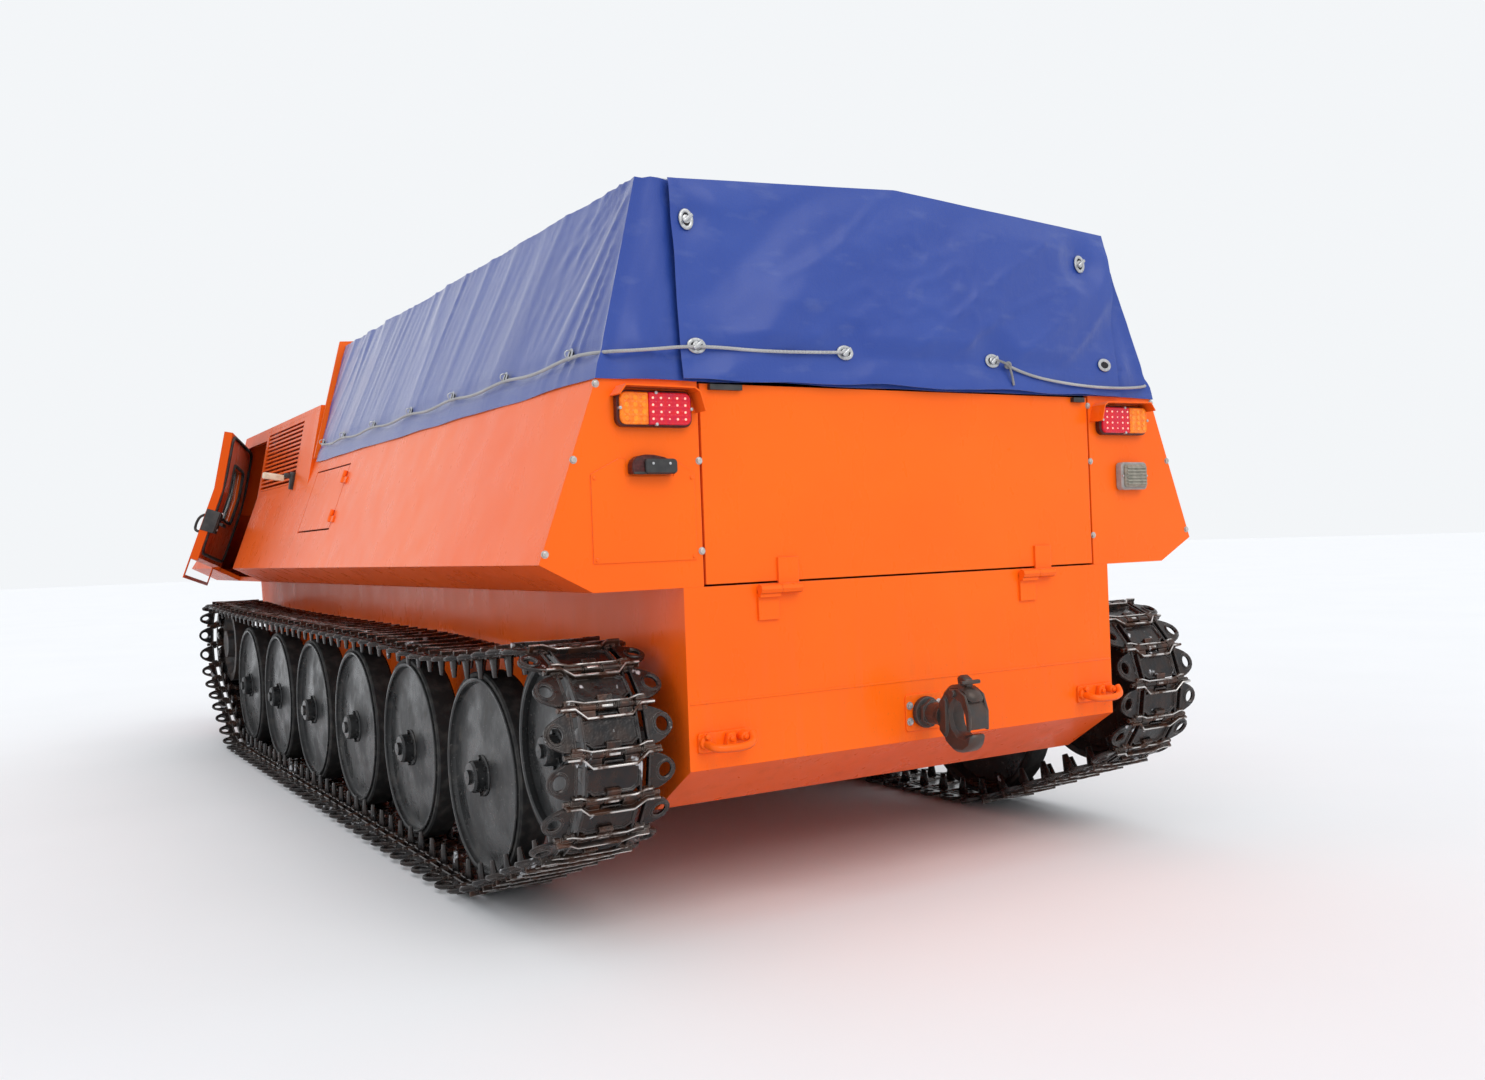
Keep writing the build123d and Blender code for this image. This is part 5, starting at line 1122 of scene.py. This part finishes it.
plate = bar("hook_plate", rounded(-0.074, 0.074, -0.058, 0.058, (0.010,) * 4), 0.0, 0.005, 0.0015)
fitted(plate, body_enamel, "pintle_hook", place=HOOK_BACK)
bolts = []
for u, v in ((-0.059, 0.024), (-0.059, -0.026), (0.059, 0.024), (0.059, -0.026)):
    bolts += [round_bar("washer", 0.0125, 0.005, 0.0068, u, v, 16),
              round_bar("bolt", 0.0090, 0.0065, 0.0135, u, v, 6, 0.001)]
fitted(join(bolts, "hook_bolts"), zinc_plate, "pintle_hook", place=HOOK_BACK)


# Rear tow hooks: low round hooks bent from bar on bolted lugs at both lower corners, painted
# over with the body and scraped at the tips.
TOW_LUG = [(-0.004, -0.010), (0.034, -0.010), (0.028, 0.026), (0.004, 0.024)]
TOW_BAR = [(-0.064, 0.002, 0.008), (-0.066, -0.004, 0.040), (-0.056, -0.010, 0.064), (-0.020, -0.012, 0.070),
           (0.030, -0.012, 0.070), (0.062, -0.006, 0.062), (0.076, 0.006, 0.046), (0.078, 0.018, 0.034)]
tow_pieces = []
for y in (0.740, -0.760):
    one = join([
        bar("tow_plate", rounded(-0.084, 0.084, -0.029, 0.029, (0.008,) * 4), 0, 0.009, 0.002),
        bar("tow_lug", TOW_LUG, 0.008, 0.028, 0.003),
        tube("tow_bar", TOW_BAR, 0.0120, steps=5, sides=3),
        round_bar("boss", 0.020, 0.006, 0.022, -0.064, 0.002, 16, 0.004),
        round_bar("boss", 0.014, 0.006, 0.040, 0.054, 0.010, 14, 0.003),
        round_bar("stud", 0.0085, 0.024, 0.036, 0.014, 0.008, 6, 0.001),
        round_bar("stud", 0.0085, 0.036, 0.047, 0.054, 0.010, 6, 0.001),
        round_bar("stud", 0.0085, 0.020, 0.032, -0.064, 0.020, 6, 0.001),
    ], "tow_hook")
    one.data.transform(lie_on((0, y, up(0.560)), (0, -1, 0)))
    tow_pieces.append(one)
fitted(join(tow_pieces, "rear_tow_hooks"), body_enamel, "tow_hooks_rear")


# Doors: folded pans with a black rubber seal round the inner face, the window held in rubber,
# a latch block with its bolts on the free edge and a loop handle outside.
WIDE_Y, WIDE_H, KINK_Y, KINK_H, ROOF_Y, ROOF_H = 1.285, 1.087, 1.140, 1.480, 1.058, 1.880
DOOR_IN = 0.045 + 0.0025
LATCH_H, LOOP_X, BOLT_X = 1.29, 4.548, 4.545
PANE = (4.700, 5.000, 1.330, 1.640)


def wall_y(h):
    """Outer face of the cab's side at a height."""
    if h < KINK_H:
        return WIDE_Y - (WIDE_Y - KINK_Y) * (h - WIDE_H) / (KINK_H - WIDE_H)
    return KINK_Y - (KINK_Y - ROOF_Y) * (h - KINK_H) / (ROOF_H - KINK_H)


def round_window(x0, x1, h0, h1, inward, corner):
    """Points round a rectangle on the cab's side, bent at the kink."""
    points = [(x, wall_y(h) - inward, up(h)) for x, h in rounded(x0, x1, h0, h1, (corner,) * 4, 3)]
    closer = []
    for a, b in zip(points, points[1:] + points[:1]):
        closer.append(a)
        if abs(b[2] - a[2]) > 0.1:
            for share in (0.25, 0.5, 0.75):
                h = a[2] - GROUND + (b[2] - a[2]) * share
                closer.append((a[0] + (b[0] - a[0]) * share, wall_y(h) - inward, up(h)))
    return closer


hinge_low, hinge_high = Vector((5.176, 1.297, up(WIDE_H))), Vector((5.176, 1.070, up(ROOF_H)))
swing = Matrix.Rotation(radians(-20), 4, (hinge_high - hinge_low).normalized())
opened = Matrix.Translation(hinge_low) @ swing @ Matrix.Translation(-hinge_low)
leaned = Matrix.Rotation(atan2(WIDE_Y - KINK_Y, KINK_H - WIDE_H), 4, "X")
rubber = two_tone("seal_rubber", (0.012, 0.012, 0.012), (0.060, 0.052, 0.046), (0.03, 0.45, 0.8, 5), 0.6,
                  0.0005)
# The loop handle's points as the height where the wall is measured, its reach and its height.
GRIP = ((1.338, -0.003, 1.338), (1.338, 0.030, 1.336), (1.290, 0.040, 1.290), (1.240, 0.030, 1.244),
        (1.240, -0.003, 1.242))
for side, door_place in (("left", opened), ("right", Matrix.Scale(-1, 4, (0, 1, 0)))):
    seals = [
        tube("door_seal", round_window(4.528, 5.148, 1.118, 1.778, DOOR_IN + 0.003, 0.05), 0.0095, True, 3),
        tube("window_seal_in", round_window(*PANE, DOOR_IN + 0.001, 0.03), 0.0090, True, 3),
        tube("window_seal_out", round_window(*PANE, 0.000, 0.03), 0.0085, True, 3),
    ]
    handle = tube("door_loop", [(LOOP_X, wall_y(at) + reach, up(h)) for at, reach, h in GRIP], 0.0075)
    base = slab("door_loop_base", (4.530, -0.004, -0.070), (4.566, 0.006, 0.070), 0.003)
    base.data.transform(Matrix.Translation((0, wall_y(LATCH_H), up(LATCH_H))) @ leaned)
    case = [
        slab("latch_block", (4.518, -0.030, -0.060), (4.572, 0.010, 0.062), 0.006),
        slab("latch_tongue", (4.506, -0.020, -0.018), (4.524, -0.004, 0.018), 0.004),
        slab("latch_lever", (4.545, -0.050, -0.010), (4.640, -0.038, 0.010), 0.004),
        slab("latch_stem", (4.545, -0.045, -0.008), (4.563, -0.020, 0.008), 0.003),
        slab("latch_edge", (4.5038, -0.024, -0.062), (4.5210, 0.050, 0.062), 0.002),
    ]
    black, latch = join([*seals, handle, base], "door_rubber_" + side), join(case, "door_latch_case_" + side)
    latch.data.transform(Matrix.Translation((0, wall_y(LATCH_H) - DOOR_IN - 0.008, up(LATCH_H))) @ leaned)
    bolts = []
    for h in (LATCH_H - 0.045, LATCH_H + 0.045):
        select()
        bpy.ops.mesh.primitive_uv_sphere_add(segments=12, ring_count=8, radius=0.0075,
                                             location=(BOLT_X, wall_y(h) - DOOR_IN - 0.038, up(h)))
        bolts.append(applied("latch_bolt"))
    for piece, look, node in ((black, rubber, None), (latch, black_plastic, "door_latch_" + side),
                              (join(bolts, "door_latch_bolts_" + side), zinc_plate, None)):
        fitted(piece, look, node, "door_%s_body" % side, place=door_place)


# Side marker: a cream moulded flag that stands out from a black moulded bracket, which is
# fixed to the wall beside the left louvre.
bracket = join([slab("marker_bracket", (-0.014, -0.045, -0.004), (0.014, 0.045, 0.020), 0.004),
                slab("marker_arm", (-0.010, 0.010, 0.010), (0.016, 0.035, 0.050), 0.004)], "marker_bracket")
flag = slab("marker_flag", (-0.004, -0.008, 0.046), (0.026, 0.024, 0.150), 0.006)
by_louvre = lie_on((3.590, wall_y(1.525) + 0.001, up(1.525)), (1, 0, 0), (0, -0.16, 1))
cream = two_tone("cream_plastic", (0.72, 0.66, 0.50), (0.50, 0.42, 0.30), (0.02, 0.45, 0.8, 5), 0.4, 0.0004,
                 rounding=0.002)
for piece, look in ((bracket, black_plastic), (flag, cream)):
    fitted(piece, look, place=by_louvre @ Matrix.Scale(-1, 4, (0, 0, 1)))


# Headlamps: round sealed lamps on the nose, each a domed clear lens in a black shell, held by
# a bright plated rim.
kinds = []
for s in (1, -1):
    shell = round_bar("shell", 0.076, 0.0, 0.052, sides=36, bevel=0.008)
    rim = ring("headlamp_rim", 0.160, 0.160, 0.0085, 0.052, 0.9)
    select()
    bpy.ops.mesh.primitive_uv_sphere_add(segments=36, ring_count=14, radius=0.070, location=(0, 0, 0.050),
                                         scale=(1, 1, 0.26))
    kinds.append((shell, rim, applied("dome")))
    for piece in kinds[-1]:
        piece.data.transform(lie_on((6.000, s * 0.760, up(1.050)), (0, 1, 0)))
looks = (("headlamp_shells", black_plastic), ("headlamp_rims", zinc_plate), ("headlamp_lenses", clear_lens))
for pieces, (name, look) in zip(zip(*kinds), looks):
    fitted(join(pieces, name), look, "headlamps")


# Glass, seats, engine and what else keeps its CAD shape: tinted flat panes with a film of
# dust, black vinyl seats, a cast-iron engine block, and black moulded latches and dash.
seat_cover = two_tone("seat_cover", (0.022, 0.022, 0.024), (0.050, 0.048, 0.046), (0.10,), 0.5,
                      grit=((0.004, 0, 1, 4), 0.0006), rounding=0.02)
engine_iron = rusty_steel("engine_iron", (0.10, 0.10, 0.10), (0.10, 0.06, 0.04), (0.05, 0.04, 0.03),
                          0.6, 0.1, 0.3)
glass = two_tone("window_glass", (0.75, 0.80, 0.80), (0.62, 0.64, 0.62), (0.12, 0.3, 0.8, 5), (0.12, 0.02),
                 more={"Transmission Weight": 0.9, "IOR": 1.45})
for look, nodes in (
    (hook_steel, ("pintle_hook",)), (seat_cover, ("seats",)), (engine_iron, ("engine_block",)),
    (black_plastic, ("door_latch_left", "door_latch_right", "gate_latches", "plate_lamp", "dash")),
    (glass, ("windscreen", "door_glass_left", "door_glass_right")),
    (red_lens, ("tail_lamps",)), (clear_lens, ("reversing_lamp", "headlamps")),
):
    for node in nodes:
        shade(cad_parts[node], look)
